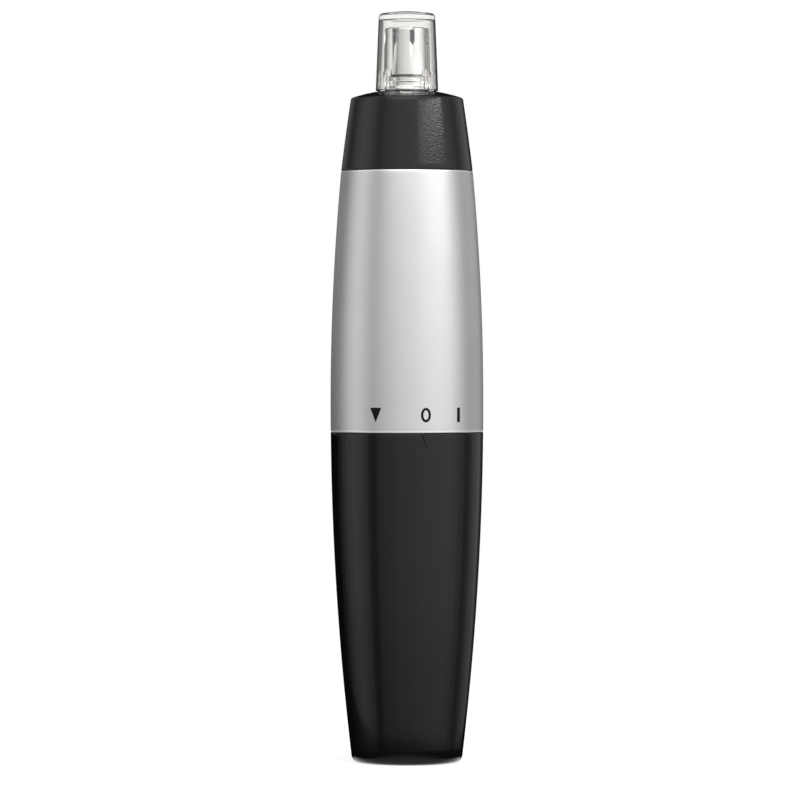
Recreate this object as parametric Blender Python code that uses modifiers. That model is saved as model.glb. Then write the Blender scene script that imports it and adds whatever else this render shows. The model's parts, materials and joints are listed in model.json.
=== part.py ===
"""A cordless nose hair trimmer, built as the separate pieces it comes apart into.

From the base up: a twist-on battery cover with an AA cell in it, a silver barrel that holds the battery frame
and the motor frame, a push-on head with a slotted chrome comb and a spinning cutter, and a clear cap.

The long axis is Z. The base stands on z = 0 and the switch symbols face -Y. Every size and height below is in
millimetres, heights are measured from the base, and the helpers turn them into Blender's metres.
"""

import math

import bpy
import bmesh
from mathutils import Matrix, Vector

MM = 0.001

# Driving dimensions of the outside.
WAIST_Z = 66.0
WAIST_RADIUS = 14.08
LOWER_ARC = 551.0
UPPER_ARC = 465.0
COVER_TOP = 60.7
JOINT_GAP = 0.3
BARREL_BOTTOM = COVER_TOP + JOINT_GAP
BARREL_TOP = 108.7
HEAD_BOTTOM = BARREL_TOP + JOINT_GAP
SHOULDER_Z = 121.9
SHOULDER_RADIUS = 10.35
CONE_CROWN = 0.05
DOME_APEX_Z = 123.8
DOME_ARC = 33.0
COMB_BOTTOM = 125.9
COMB_TOP = 135.0
CAP_BOTTOM = 123.5
CAP_TOP = 138.0

# The switch: the cover's index mark points at "off" at rest, "on" is anticlockwise seen from above, and the
# cover comes off at the triangle.
MARK_OFF = -77.0
TURN_ON = 28.0
TURN_UNLOCK = -38.0
MARK_LENGTH = 2.9
MARK_SLANT = 0.65

# Walls and fits.
COVER_WALL = 1.6
BARREL_WALL = 1.2
HEAD_WALL = 1.4
BASE_FILLET = 1.3
CLEAR = 0.1

# Battery frame: a spigot with bayonet slots that the cover turns on, and the tube the AA cell slides into.
SPIGOT_RADIUS = 11.5
SPIGOT_BOTTOM = 46.0
SPIGOT_INNER = 9.9
TUBE_RADIUS = 7.65
TUBE_OUTER = 8.95
SPIGOT_TOP = 62.5
LUG_BOTTOM = 55.0
LUG_HEIGHT = 2.0
LUG_INNER = 10.9
LUG_ANGLE = 16.0
SLOT_CLEAR = 0.35
SLOT_FLOOR = 10.5
LEDGE_RADIUS = 10.8
SHELF_Z = 67.6
SHELF_TOP = 69.2
COLLAR_TOP = 73.0
FRAME_SPLIT = 69.7
FRAME_RADIUS = 11.2
SCREW_Z = 71.4
SCREW_RADIUS = 0.7
COVER_SEAL_Z = 59.6
COVER_SEAL_WIRE = 0.5

# AA cell, 14.5 mm by 50.5 mm.
CELL_RADIUS = 7.25
CELL_BOTTOM = 16.0
CELL_LENGTH = 50.5
BUTTON_RADIUS = 2.75
BUTTON_HEIGHT = 1.5
CELL_SHOULDER = CELL_BOTTOM + CELL_LENGTH - BUTTON_HEIGHT

# Cover inside.
FLOOR_Z = 2.2
PEDESTAL_INNER = 4.4
PEDESTAL_OUTER = 6.4
PEDESTAL_TOP = 8.2
RIB_TOP = 38.0
RIB_THICKNESS = 1.2
STRIP_TOP = 57.0
STRIP_AZIMUTH = 90.0

# Motor: a flat-sided can 20.1 mm by 15.1 mm, 2 mm shaft.
MOTOR_RADIUS = 10.05
MOTOR_FLAT = 7.55
CAN_WALL = 0.9
CAN_BOTTOM = 77.5
CAN_TOP = 100.0
BOSS_RADIUS = 3.1
BOSS_TOP = 101.6
END_CAP_BOTTOM = 75.0
SHAFT_RADIUS = 1.0
SHAFT_TOP = 108.8
BUSH_RADIUS = 2.6
CORE_BOTTOM = 83.0
CORE_TOP = 93.0
CORE_RADIUS = 6.2
POLES = 3
HUB_RADIUS = 2.4
ARM_WIDTH = 2.2
SHOE_INNER = 4.9
SHOE_ANGLE = 50.0
COIL_RADIUS = 0.7
MAGNET_ANGLE = 38.0
TERMINAL_X = 6.2

# Motor frame top: the wall under the motor's drive end, the shaft seal and the cup the head pushes onto.
CUP_FLOOR = 106.0
CUP_TOP = 114.0
CUP_RADIUS = 9.4
CUP_INNER = 8.0
HEAD_BORE = 9.75
HEAD_SEAL_Z = 111.3
HEAD_SEAL_WIRE = 0.45
KEY_WIDTH = 2.0
SEAL_POCKET = 3.3

# Drive: fork on the motor shaft, tang on the cutter shaft.
FORK_BOTTOM = 106.5
FORK_FLOOR = 109.4
FORK_TOP = 113.5
FORK_RADIUS = 3.0
FORK_SLOT = 2.0
FORK_BORE = 1.7
TANG_BOTTOM = 111.9
DRIVER_FLOOR = 114.3
DRIVER_TOP = 117.0
CUTTER_SHAFT_RADIUS = 0.9

# Neck: the stem goes through the dome, the foot stands on it, and the comb is pressed on the spigot.
NECK_SPIGOT = 3.4
NECK_TOP = 127.6
NECK_STEP_Z = 125.35
NECK_WAIST_RADIUS = 3.92
FOOT_RADIUS = 4.25
FOOT_BOTTOM = 123.7
STEM_RADIUS = 3.0
STEM_BOTTOM = 119.0

# Chrome comb.
COMB_RADIUS = 4.3
COMB_TOP_RADIUS = 4.07
COMB_WALL = 0.45
COMB_SLOTS = 8
COMB_FIRST_SLOT = -77.0
SLOT_WIDTH = 0.9
SLOT_BOTTOM = 131.5
SLOT_TIP = 0.9

# Clear cap.
CAP_MOUTH_RADIUS = 5.75
CAP_CROWN_RADIUS = 5.15
CAP_WALL = 0.7
CAP_RIB_HEIGHT = 3.6
CAP_RIB_ANGLES = (-43, -20, 20, 43)

ROUND = 40
FRAME_ROUND = 32
SMALL_ROUND = 20

CUTTERS = "cutters"
OBJECT = "nose_trimmer"


# ---------------------------------------------------------------- scene and materials

def clear_scene():
    """Removes every object that is in the file before the model is made."""
    for obj in list(bpy.data.objects):
        bpy.data.objects.remove(obj, do_unlink=True)


def collection(name):
    """The scene's collection of this name, made on first use."""
    found = bpy.data.collections.get(name)
    if found is None:
        found = bpy.data.collections.new(name)
        bpy.context.scene.collection.children.link(found)
    return found


def material(name, colour, roughness, metallic=0.0, transmission=0.0):
    """A Principled BSDF material, made on first use."""
    found = bpy.data.materials.get(name)
    if found is None:
        found = bpy.data.materials.new(name)
        found.use_nodes = True
        shader = found.node_tree.nodes["Principled BSDF"]
        shader.inputs["Base Color"].default_value = (*colour, 1.0)
        shader.inputs["Roughness"].default_value = roughness
        shader.inputs["Metallic"].default_value = metallic
        shader.inputs["Transmission Weight"].default_value = transmission
        found.diffuse_color = (*colour, 1.0)
    return found


FINISHES = {
    "black_plastic": ((0.028, 0.028, 0.030), 0.42),
    "silver_paint": ((0.62, 0.62, 0.63), 0.32, 0.85),
    "chrome": ((0.86, 0.87, 0.88), 0.08, 1.0),
    "clear_plastic": ((0.80, 0.79, 0.76), 0.05, 0.0, 0.9),
    "frame_plastic": ((0.05, 0.05, 0.055), 0.55),
    "white_nylon": ((0.78, 0.77, 0.72), 0.45),
    "motor_steel": ((0.55, 0.56, 0.57), 0.35, 1.0),
    "blade_steel": ((0.72, 0.73, 0.75), 0.18, 1.0),
    "contact_nickel": ((0.66, 0.64, 0.58), 0.25, 1.0),
    "bearing_bronze": ((0.55, 0.38, 0.20), 0.40, 1.0),
    "winding_copper": ((0.60, 0.25, 0.12), 0.35, 1.0),
    "magnet_ferrite": ((0.09, 0.09, 0.10), 0.70),
    "seal_rubber": ((0.02, 0.02, 0.02), 0.65),
    "wire_red": ((0.55, 0.03, 0.02), 0.45),
    "wire_black": ((0.015, 0.015, 0.015), 0.45),
    "cell_sleeve": ((0.03, 0.06, 0.28), 0.30, 0.3),
    "cell_body": ((0.70, 0.69, 0.64), 0.25, 1.0),
    "cell_steel": ((0.70, 0.69, 0.64), 0.25, 1.0),
}


def body(name):
    """An empty on the trimmer's axis that the pieces moving together are parented to."""
    found = bpy.data.objects.get(name)
    if found is None:
        found = bpy.data.objects.new(name, None)
        found.empty_display_size = 10 * MM
        collection(OBJECT).objects.link(found)
    return found


def add(name, data, finish, parent):
    """Links a mesh or curve as a piece of the trimmer, or as a cutter where no finish is given."""
    obj = bpy.data.objects.new(name, data)
    if finish is None:
        collection(CUTTERS).objects.link(obj)
        obj.hide_render = True
        obj.display_type = "WIRE"
        return obj
    collection(OBJECT).objects.link(obj)
    data.materials.append(material(finish, *FINISHES[finish]))
    obj.parent = body(parent)
    return obj


# ---------------------------------------------------------------- shapes

def steps(start, end, count):
    """count + 1 evenly spaced values from start to end."""
    return [start + (end - start) * i / count for i in range(count + 1)]


def arc(centre_r, centre_z, radius, start, end, count):
    """(radius, height) points on an arc. Angles are in degrees, 0 outwards and 90 up."""
    return [
        (centre_r + radius * math.cos(math.radians(a)), centre_z + radius * math.sin(math.radians(a)))
        for a in steps(start, end, count)
    ]


def polar(radius, azimuth):
    """The (x, y) of a point at this radius and azimuth in degrees, 0 at +X."""
    return (radius * math.cos(math.radians(azimuth)), radius * math.sin(math.radians(azimuth)))


def lathe(name, profile, finish=None, parent=None, around=ROUND):
    """Turns a (radius, height) profile about Z. It runs down the outer side, then up the inner side.

    A profile that starts and ends at radius 0 makes a piece with no bore. Any other is closed into a ring."""
    bm = bmesh.new()
    verts = [bm.verts.new((r * MM, 0, z * MM)) for r, z in profile]
    for a, b in zip(verts, verts[1:]):
        bm.edges.new((a, b))
    if profile[0][0] > 0:
        bm.edges.new((verts[-1], verts[0]))
    mesh = bpy.data.meshes.new(name)
    bm.to_mesh(mesh)
    bm.free()
    obj = add(name, mesh, finish, parent)
    screw = obj.modifiers.new("Turn", "SCREW")
    screw.axis = "Z"
    screw.angle = math.tau
    screw.steps = screw.render_steps = around
    screw.use_merge_vertices = True
    screw.merge_threshold = 0.00001
    return obj


def tube(name, outer, inner, bottom, top, finish=None, parent=None, around=SMALL_ROUND):
    """A straight round sleeve."""
    return lathe(name, [(outer, top), (outer, bottom), (inner, bottom), (inner, top)], finish, parent, around)


def rod(name, radius, bottom, top, finish=None, parent=None, around=SMALL_ROUND):
    """A straight round bar on the axis."""
    bm = bmesh.new()
    wide, long = radius * MM, (top - bottom) * MM
    bmesh.ops.create_cone(bm, cap_ends=True, segments=around, radius1=wide, radius2=wide, depth=long)
    bmesh.ops.translate(bm, verts=bm.verts, vec=(0, 0, (top + bottom) / 2 * MM))
    mesh = bpy.data.meshes.new(name)
    bm.to_mesh(mesh)
    bm.free()
    return add(name, mesh, finish, parent)


def box(name, size, centre, finish=None, parent=None, azimuth=0.0):
    """A block of size (x, y, z) about a centre, turned about the trimmer's axis by azimuth degrees."""
    bm = bmesh.new()
    bmesh.ops.create_cube(bm, size=1.0)
    bmesh.ops.scale(bm, verts=bm.verts, vec=Vector(size) * MM)
    bmesh.ops.translate(bm, verts=bm.verts, vec=Vector(centre) * MM)
    mesh = bpy.data.meshes.new(name)
    bm.to_mesh(mesh)
    bm.free()
    obj = add(name, mesh, finish, parent)
    obj.rotation_euler.z = math.radians(azimuth)
    return obj


def ring(name, radius, wire, z, finish, parent, around=28, section=6):
    """A round-section ring, such as an O-ring."""
    profile = arc(radius, z, wire, 90, -270, section)[:-1]
    return lathe(name, profile, finish, parent, around)


def to_mesh(curve_obj, finish, parent):
    """Replaces a curve object by the closed mesh it evaluates to, with its origin at zero."""
    bpy.context.view_layer.update()
    graph = bpy.context.evaluated_depsgraph_get()
    mesh = bpy.data.meshes.new_from_object(curve_obj.evaluated_get(graph))
    mesh.transform(curve_obj.matrix_world)
    name = curve_obj.name
    curve = curve_obj.data
    bpy.data.objects.remove(curve_obj, do_unlink=True)
    bpy.data.curves.remove(curve)
    bm = bmesh.new()
    bm.from_mesh(mesh)
    bmesh.ops.remove_doubles(bm, verts=bm.verts, dist=0.000001)
    bmesh.ops.recalc_face_normals(bm, faces=bm.faces)
    bm.to_mesh(mesh)
    bm.free()
    mesh.materials.clear()
    return add(name, mesh, finish, parent)


def plate(name, outline, bottom, top, finish=None, parent=None, upright=False):
    """A flat outline of (x, y) points made as thick as bottom to top.

    It lies in the XY plane and rises along Z. Upright, the outline is (radius, height) in the XZ plane, and
    bottom and top are its two faces along Y."""
    curve = bpy.data.curves.new(name, "CURVE")
    curve.dimensions = "2D"
    curve.fill_mode = "BOTH"
    curve.extrude = (top - bottom) / 2 * MM
    spline = curve.splines.new("POLY")
    spline.points.add(len(outline) - 1)
    for point, (x, y) in zip(spline.points, outline):
        point.co = (x * MM, y * MM, 0, 1)
    spline.use_cyclic_u = True
    obj = bpy.data.objects.new(name, curve)
    bpy.context.scene.collection.objects.link(obj)
    middle = (top + bottom) / 2 * MM
    if upright:
        obj.matrix_world = Matrix.Translation((0, middle, 0)) @ Matrix.Rotation(math.pi / 2, 4, "X")
    else:
        obj.matrix_world = Matrix.Translation((0, 0, middle))
    return to_mesh(obj, finish, parent)


def wire(name, points, radius, finish, parent, sides=2, smooth=True):
    """A round wire through (x, y, z) points, capped at both ends."""
    curve = bpy.data.curves.new(name, "CURVE")
    curve.dimensions = "3D"
    curve.bevel_depth = radius * MM
    curve.bevel_resolution = sides
    curve.use_fill_caps = True
    curve.resolution_u = 5
    spline = curve.splines.new("BEZIER" if smooth else "POLY")
    if smooth:
        spline.bezier_points.add(len(points) - 1)
        for point, place in zip(spline.bezier_points, points):
            point.co = Vector(place) * MM
            point.handle_left_type = point.handle_right_type = "AUTO"
    else:
        spline.points.add(len(points) - 1)
        for point, place in zip(spline.points, points):
            point.co = (*(Vector(place) * MM), 1)
    obj = bpy.data.objects.new(name, curve)
    bpy.context.scene.collection.objects.link(obj)
    return to_mesh(obj, finish, parent)


def coil(name, bottom_radius, top_radius, gauge, bottom, top, turns, finish, parent):
    """A coil spring. Its end turns lie flat, and its radius runs evenly from bottom to top."""
    points = []
    per_turn = 12
    for i in range(turns * per_turn + 1):
        t = i / (turns * per_turn)
        rise = min(max((t * turns - 1) / (turns - 2), 0), 1)
        radius = bottom_radius + (top_radius - bottom_radius) * t
        lift = gauge * 2.3 * (min(t * turns, 1) + max(t * turns - turns + 1, 0))
        height = bottom + gauge + lift + rise * (top - bottom - 6.6 * gauge)
        points.append((*polar(radius, 360 * turns * t), height))
    return wire(name, points, gauge, finish, parent, sides=0, smooth=False)


def strip(name, path, width, thickness, finish, parent, azimuth=0.0):
    """A flat metal strip that follows (radius, height) points at one azimuth, with its width across them."""
    bm = bmesh.new()
    verts = [bm.verts.new((r * MM, -width / 2 * MM, z * MM)) for r, z in path]
    edges = [bm.edges.new((a, b)) for a, b in zip(verts, verts[1:])]
    made = bmesh.ops.extrude_edge_only(bm, edges=edges)["geom"]
    moved = [v for v in made if isinstance(v, bmesh.types.BMVert)]
    bmesh.ops.translate(bm, verts=moved, vec=(0, width * MM, 0))
    mesh = bpy.data.meshes.new(name)
    bm.to_mesh(mesh)
    bm.free()
    obj = add(name, mesh, finish, parent)
    solidify = obj.modifiers.new("Thickness", "SOLIDIFY")
    solidify.thickness = thickness * MM
    solidify.offset = 0.0
    obj.rotation_euler.z = math.radians(azimuth)
    return obj


def combine(obj, tool, operation="DIFFERENCE"):
    """Cuts tool from obj, or joins it with UNION."""
    boolean = obj.modifiers.new(tool.name, "BOOLEAN")
    boolean.operation = operation
    boolean.object = tool
    boolean.solver = "EXACT"
    return obj


def double_d(radius, flat, count=10):
    """The outline of a round can with two flat sides at y = +-flat."""
    half = math.degrees(math.asin(flat / radius))
    right = [polar(radius, a) for a in steps(-half, half, count)]
    return right + [(-x, -y) for x, y in right]


# ---------------------------------------------------------------- the outside line

def arc_drop(distance, radius):
    """How far a circle of this radius falls away from its tangent at this distance along it."""
    return radius - math.sqrt(radius**2 - distance**2)


def grip_radius(z):
    """Outer radius of cover and barrel: two long arcs that meet at the waist."""
    return WAIST_RADIUS - arc_drop(z - WAIST_Z, LOWER_ARC if z < WAIST_Z else UPPER_ARC)


def cone_radius(z):
    """Outer radius of the head's side, which bulges a little at half its height."""
    up = (z - HEAD_BOTTOM) / (SHOULDER_Z - HEAD_BOTTOM)
    foot = grip_radius(HEAD_BOTTOM)
    return foot + (SHOULDER_RADIUS - foot) * up + CONE_CROWN * 4 * up * (1 - up)


def dome_height(radius):
    """Height of the head's shallow dome at this radius."""
    return DOME_APEX_Z - arc_drop(radius, DOME_ARC)


# ---------------------------------------------------------------- battery cover

def make_battery_cover():
    """The black cup: outer wall, spring pedestal, centring ribs, two bayonet lugs and the index mark."""
    bottom_radius = grip_radius(BASE_FILLET)
    inner = [(grip_radius(z) - COVER_WALL, z) for z in steps(FLOOR_Z, COVER_TOP, 3)]
    outer = [(grip_radius(z), z) for z in steps(COVER_TOP, BASE_FILLET, 6)]
    fillet = arc(bottom_radius - BASE_FILLET, BASE_FILLET, BASE_FILLET, 0, -90, 3)[1:]
    pedestal = [(0, FLOOR_Z), (PEDESTAL_INNER, FLOOR_Z), (PEDESTAL_INNER, PEDESTAL_TOP),
                (PEDESTAL_OUTER, PEDESTAL_TOP), (PEDESTAL_OUTER, FLOOR_Z)]
    cover = lathe("battery_cover", pedestal + inner + outer + fillet + [(0, 0)], "black_plastic", "cover")

    wall_middle = COVER_WALL / 2
    foot = FLOOR_Z - 1
    rib_outline = [(TUBE_RADIUS, foot), (grip_radius(foot) - wall_middle, foot),
                   (grip_radius(RIB_TOP) - wall_middle, RIB_TOP), (TUBE_RADIUS + 1.5, RIB_TOP),
                   (TUBE_RADIUS, RIB_TOP - 3)]
    for azimuth in (45, 135, 225, 315):
        rib = plate(f"cover_rib_{azimuth}", rib_outline, -RIB_THICKNESS / 2, RIB_THICKNESS / 2, upright=True)
        rib.rotation_euler.z = math.radians(azimuth)
        combine(cover, rib, "UNION")

    for azimuth in (0, 180):
        reach = grip_radius(LUG_BOTTOM) - wall_middle
        lug = plate(
            f"cover_lug_{azimuth}",
            [polar(LUG_INNER, a) for a in steps(-LUG_ANGLE / 2, LUG_ANGLE / 2, 3)]
            + [polar(reach, a) for a in steps(LUG_ANGLE / 2, -LUG_ANGLE / 2, 3)],
            LUG_BOTTOM, LUG_BOTTOM + LUG_HEIGHT,
        )
        lug.rotation_euler.z = math.radians(azimuth)
        combine(cover, lug, "UNION")

    half = 0.13
    mark_foot = COVER_TOP - MARK_LENGTH
    index = plate(
        "cover_index_groove",
        [(MARK_SLANT + half, COVER_TOP + 0.5), (MARK_SLANT - half, COVER_TOP + 0.5),
         (-MARK_SLANT - half, mark_foot), (-MARK_SLANT + half, mark_foot)],
        WAIST_RADIUS - 0.5, WAIST_RADIUS + 1, upright=True,
    )
    index.rotation_euler.z = math.radians(MARK_OFF - 90)
    combine(cover, index)


def make_cover_contacts():
    """The coil spring under the cell, and the strip that leads from it up to the switch contact."""
    coil("negative_spring", 5.4, 3.6, 0.42, PEDESTAL_TOP + 0.55, CELL_BOTTOM - CLEAR, 5,
         "contact_nickel", "cover")
    seat = PEDESTAL_TOP + 0.3
    stand_off = COVER_WALL + 0.5
    up_the_wall = [(grip_radius(z) - stand_off, z) for z in steps(seat, STRIP_TOP, 6)]
    strip("negative_strip", [(2.0, seat)] + up_the_wall, 3.0, 0.25, "contact_nickel", "cover", STRIP_AZIMUTH)


# ---------------------------------------------------------------- AA cell

def make_cell():
    """The AA cell: steel can, printed sleeve, positive button, insulating washer and negative plate."""
    can_radius = CELL_RADIUS - 0.3
    rod("cell_can", can_radius, CELL_BOTTOM + 0.6, CELL_SHOULDER - 0.6, "cell_body", "cell")
    rod("cell_negative_plate", 5.6, CELL_BOTTOM, CELL_BOTTOM + 0.5, "cell_steel", "cell")
    sleeve_top = CELL_SHOULDER - 0.1
    lathe(
        "cell_sleeve",
        [(5.6, sleeve_top), (CELL_RADIUS - 0.5, sleeve_top), (CELL_RADIUS, sleeve_top - 0.5),
         (CELL_RADIUS, CELL_BOTTOM + 0.6), (CELL_RADIUS - 0.5, CELL_BOTTOM + 0.1), (6.0, CELL_BOTTOM + 0.1),
         (6.0, CELL_BOTTOM + 0.4), (can_radius + CLEAR, CELL_BOTTOM + 0.5),
         (can_radius + CLEAR, sleeve_top - 0.4), (5.6, sleeve_top - 0.4)],
        "cell_sleeve", "cell", SMALL_ROUND + 4,
    )
    lathe(
        "cell_button",
        [(0, CELL_SHOULDER + BUTTON_HEIGHT), (BUTTON_RADIUS - 0.4, CELL_SHOULDER + BUTTON_HEIGHT),
         (BUTTON_RADIUS, CELL_SHOULDER + BUTTON_HEIGHT - 0.4), (BUTTON_RADIUS, CELL_SHOULDER - 0.4),
         (0, CELL_SHOULDER - 0.4)],
        "cell_steel", "cell",
    )
    tube("cell_washer", 5.5, BUTTON_RADIUS + CLEAR, CELL_SHOULDER - 0.5, CELL_SHOULDER - 0.15,
         "white_nylon", "cell")


# ---------------------------------------------------------------- barrel and frames

def make_barrel_shell():
    """The silver sleeve, open at both ends."""
    outer = [(grip_radius(z), z) for z in steps(BARREL_TOP, BARREL_BOTTOM, 7)]
    inner = [(grip_radius(z) - BARREL_WALL, z) for z in steps(BARREL_BOTTOM, BARREL_TOP, 3)]
    lathe("barrel_shell", outer + inner, "silver_paint", "barrel")


def sector(name, floor, start, end, bottom, top):
    """A cutter that takes the spigot down to radius floor between two azimuths and two heights."""
    angles = steps(start, end, 8)
    outline = [polar(floor, a) for a in angles] + [polar(SPIGOT_RADIUS + 1, a) for a in reversed(angles)]
    return plate(name, outline, bottom, top)


def bayonet_cutters(azimuth):
    """The L-shaped slot one lug runs in: an entry from below at the triangle, then the turn to off and on.

    The ledge under the turn stands only just proud of the slot's floor, so that it clears the lug."""
    half = LUG_ANGLE / 2 + 2.0
    first, last = azimuth + TURN_UNLOCK - half, azimuth + TURN_ON + half
    entry_end = azimuth + TURN_UNLOCK + half
    low, high, mouth = LUG_BOTTOM - SLOT_CLEAR, LUG_BOTTOM + LUG_HEIGHT + SLOT_CLEAR, SPIGOT_BOTTOM - 1
    return (
        sector(f"bayonet_ledge_{azimuth}", LEDGE_RADIUS, first, last, mouth, low + 0.4),
        sector(f"bayonet_turn_{azimuth}", SLOT_FLOOR, first + 0.3, last - 0.3, low, high),
        sector(f"bayonet_entry_{azimuth}", SLOT_FLOOR - 0.1, first + 0.6, entry_end, mouth - 0.5, low + 0.7),
    )


def make_battery_frame():
    """The inner frame below the motor: bayonet spigot, battery tube, contact shelf and the collar on top."""
    groove = SPIGOT_RADIUS - 0.5
    half_groove = COVER_SEAL_WIRE + 0.15
    frame = lathe(
        "battery_frame",
        [(10.1, COLLAR_TOP), (10.1, FRAME_SPLIT - JOINT_GAP), (FRAME_RADIUS, FRAME_SPLIT - JOINT_GAP),
         (FRAME_RADIUS, 62.3), (12.6, 62.3), (12.6, BARREL_BOTTOM + 0.05),
         (SPIGOT_RADIUS, BARREL_BOTTOM + 0.05),
         (SPIGOT_RADIUS, COVER_SEAL_Z + half_groove), (groove, COVER_SEAL_Z + half_groove),
         (groove, COVER_SEAL_Z - half_groove), (SPIGOT_RADIUS, COVER_SEAL_Z - half_groove),
         (SPIGOT_RADIUS, SPIGOT_BOTTOM + 0.5), (SPIGOT_RADIUS - 0.5, SPIGOT_BOTTOM),
         (SPIGOT_INNER, SPIGOT_BOTTOM), (SPIGOT_INNER, SPIGOT_TOP), (TUBE_OUTER, SPIGOT_TOP),
         (TUBE_OUTER, SPIGOT_BOTTOM),
         (TUBE_RADIUS + 0.4, SPIGOT_BOTTOM), (TUBE_RADIUS, SPIGOT_BOTTOM + 0.6), (TUBE_RADIUS, SHELF_Z),
         (2.0, SHELF_Z), (2.0, SHELF_TOP), (8.9, SHELF_TOP), (8.9, COLLAR_TOP)],
        "frame_plastic", "barrel", FRAME_ROUND,
    )
    for azimuth in (0, 180):
        for tool in bayonet_cutters(azimuth):
            combine(frame, tool)

    contact_azimuth = STRIP_AZIMUTH + TURN_ON
    combine(frame, box("switch_window", (3.0, 3.6, 8.6), (10.6, 0, 54.3), azimuth=contact_azimuth))
    combine(frame, box("switch_slot", (1.1, 3.4, 12.0), (9.45, 0, 68.0), azimuth=contact_azimuth))
    combine(frame, screw_hole("battery_frame_screw_hole"))


def screw_hole(name):
    """A cutter from front to back for the two screws that join the frames."""
    hole = rod(name, SCREW_RADIUS + 0.15, -FRAME_RADIUS - 1, FRAME_RADIUS + 1, around=16)
    hole.rotation_euler.x = math.radians(90)
    hole.location.z = SCREW_Z * MM
    return hole


def make_motor_frame():
    """The upper frame: motor bay with side windows and pads, shaft seal pocket, and the cup the head fits."""
    groove = CUP_RADIUS - 0.7
    half_groove = HEAD_SEAL_WIRE + 0.1
    frame = lathe(
        "motor_frame",
        [(CUP_RADIUS - 0.4, CUP_TOP), (CUP_RADIUS, CUP_TOP - 0.4), (CUP_RADIUS, HEAD_SEAL_Z + half_groove),
         (groove, HEAD_SEAL_Z + half_groove), (groove, HEAD_SEAL_Z - half_groove),
         (CUP_RADIUS, HEAD_SEAL_Z - half_groove), (CUP_RADIUS, CUP_FLOOR), (10.6, CUP_FLOOR), (11.1, 103.6),
         (FRAME_RADIUS, 102.0), (FRAME_RADIUS, FRAME_SPLIT), (10.35, FRAME_SPLIT),
         (10.35, CAN_TOP + JOINT_GAP),
         (BOSS_RADIUS + 0.3, CAN_TOP + JOINT_GAP), (BOSS_RADIUS + 0.3, BOSS_TOP + JOINT_GAP),
         (1.5, BOSS_TOP + JOINT_GAP), (1.5, 103.5), (SEAL_POCKET, 103.5), (SEAL_POCKET, CUP_FLOOR),
         (CUP_INNER, CUP_FLOOR), (CUP_INNER, CUP_TOP)],
        "frame_plastic", "barrel", FRAME_ROUND,
    )
    pad_outer = 10.8
    depth = pad_outer - MOTOR_FLAT - JOINT_GAP
    for side in (-1, 1):
        combine(frame, box(f"motor_window_{side}", (6, 9, 14), (side * 11.5, 0, 89)))
        pad = box(f"motor_pad_{side}", (5, depth, 18), (0, side * (pad_outer - depth / 2), 90))
        combine(frame, pad, "UNION")
    slot_centre = (CUP_RADIUS - 0.6, 0, CUP_TOP - 0.2)
    combine(frame, box("head_key_slot", (4, KEY_WIDTH + 0.6, 3.0), slot_centre, azimuth=-90))
    combine(frame, screw_hole("motor_frame_screw_hole"))


def make_frame_screws():
    """Two small screws, front and back, that hold the two frames together."""
    profile = [(0, 0.55), (0.9, 0.45), (1.35, 0), (SCREW_RADIUS, 0), (SCREW_RADIUS, -1.8), (0, -2.2)]
    for name, side in (("frame_screw_front", -1), ("frame_screw_back", 1)):
        screw = lathe(name, profile, "motor_steel", "barrel", 16)
        screw.location = (0, side * (FRAME_RADIUS + CLEAR) * MM, SCREW_Z * MM)
        screw.rotation_euler.x = -side * math.pi / 2


def make_seals():
    """The O-rings under the cover and the head, and the lip seal round the motor shaft."""
    ring("cover_seal", SPIGOT_RADIUS - 0.5 + COVER_SEAL_WIRE + 0.15, COVER_SEAL_WIRE, COVER_SEAL_Z,
         "seal_rubber", "seal_ring")
    ring("head_seal", CUP_RADIUS - 0.7 + HEAD_SEAL_WIRE + 0.05, HEAD_SEAL_WIRE, HEAD_SEAL_Z,
         "seal_rubber", "barrel")
    lathe(
        "shaft_seal",
        [(SEAL_POCKET - CLEAR, 105.9), (SEAL_POCKET - CLEAR, 103.65), (2.2, 103.65),
         (SHAFT_RADIUS + CLEAR, 104.3), (SHAFT_RADIUS + CLEAR, 104.8), (2.4, 105.2), (2.4, 105.9)],
        "seal_rubber", "barrel", SMALL_ROUND,
    )


# ---------------------------------------------------------------- contacts and wires

def make_barrel_contacts():
    """The plate the cell's button presses on, and the switch finger that meets the cover's strip at "on"."""
    contact = rod("positive_contact", 5.4, SHELF_Z - 0.7, SHELF_Z - 0.4, "contact_nickel", "barrel")
    combine(contact, box("contact_tail", (0.3, 1.8, 3.6), (1.0, 0, SHELF_Z + 1.2)), "UNION")
    strip(
        "switch_contact",
        [(9.45, 71.6), (9.45, 57.2), (11.25, 54.6), (11.45, 53.6), (11.25, 52.6), (9.9, 51.0)],
        2.6, 0.25, "contact_nickel", "barrel", STRIP_AZIMUTH + TURN_ON,
    )


def make_wires():
    """The two leads from the contacts to the motor's terminals."""
    wire("lead_positive", [(2.0, 0.0, 70.4), (3.4, 1.6, 70.9), (5.0, 1.2, 71.5), (5.5, 0.0, 72.4)], 0.32,
         "wire_red", "barrel", sides=1)
    end_x, end_y = polar(8.7, STRIP_AZIMUTH + TURN_ON)
    wire("lead_negative", [(end_x, end_y, 71.2), (-4.4, 4.6, 70.7), (-5.0, 2.2, 71.0), (-5.3, 0.3, 72.6)],
         0.32, "wire_black", "barrel", sides=1)


# ---------------------------------------------------------------- motor

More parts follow.
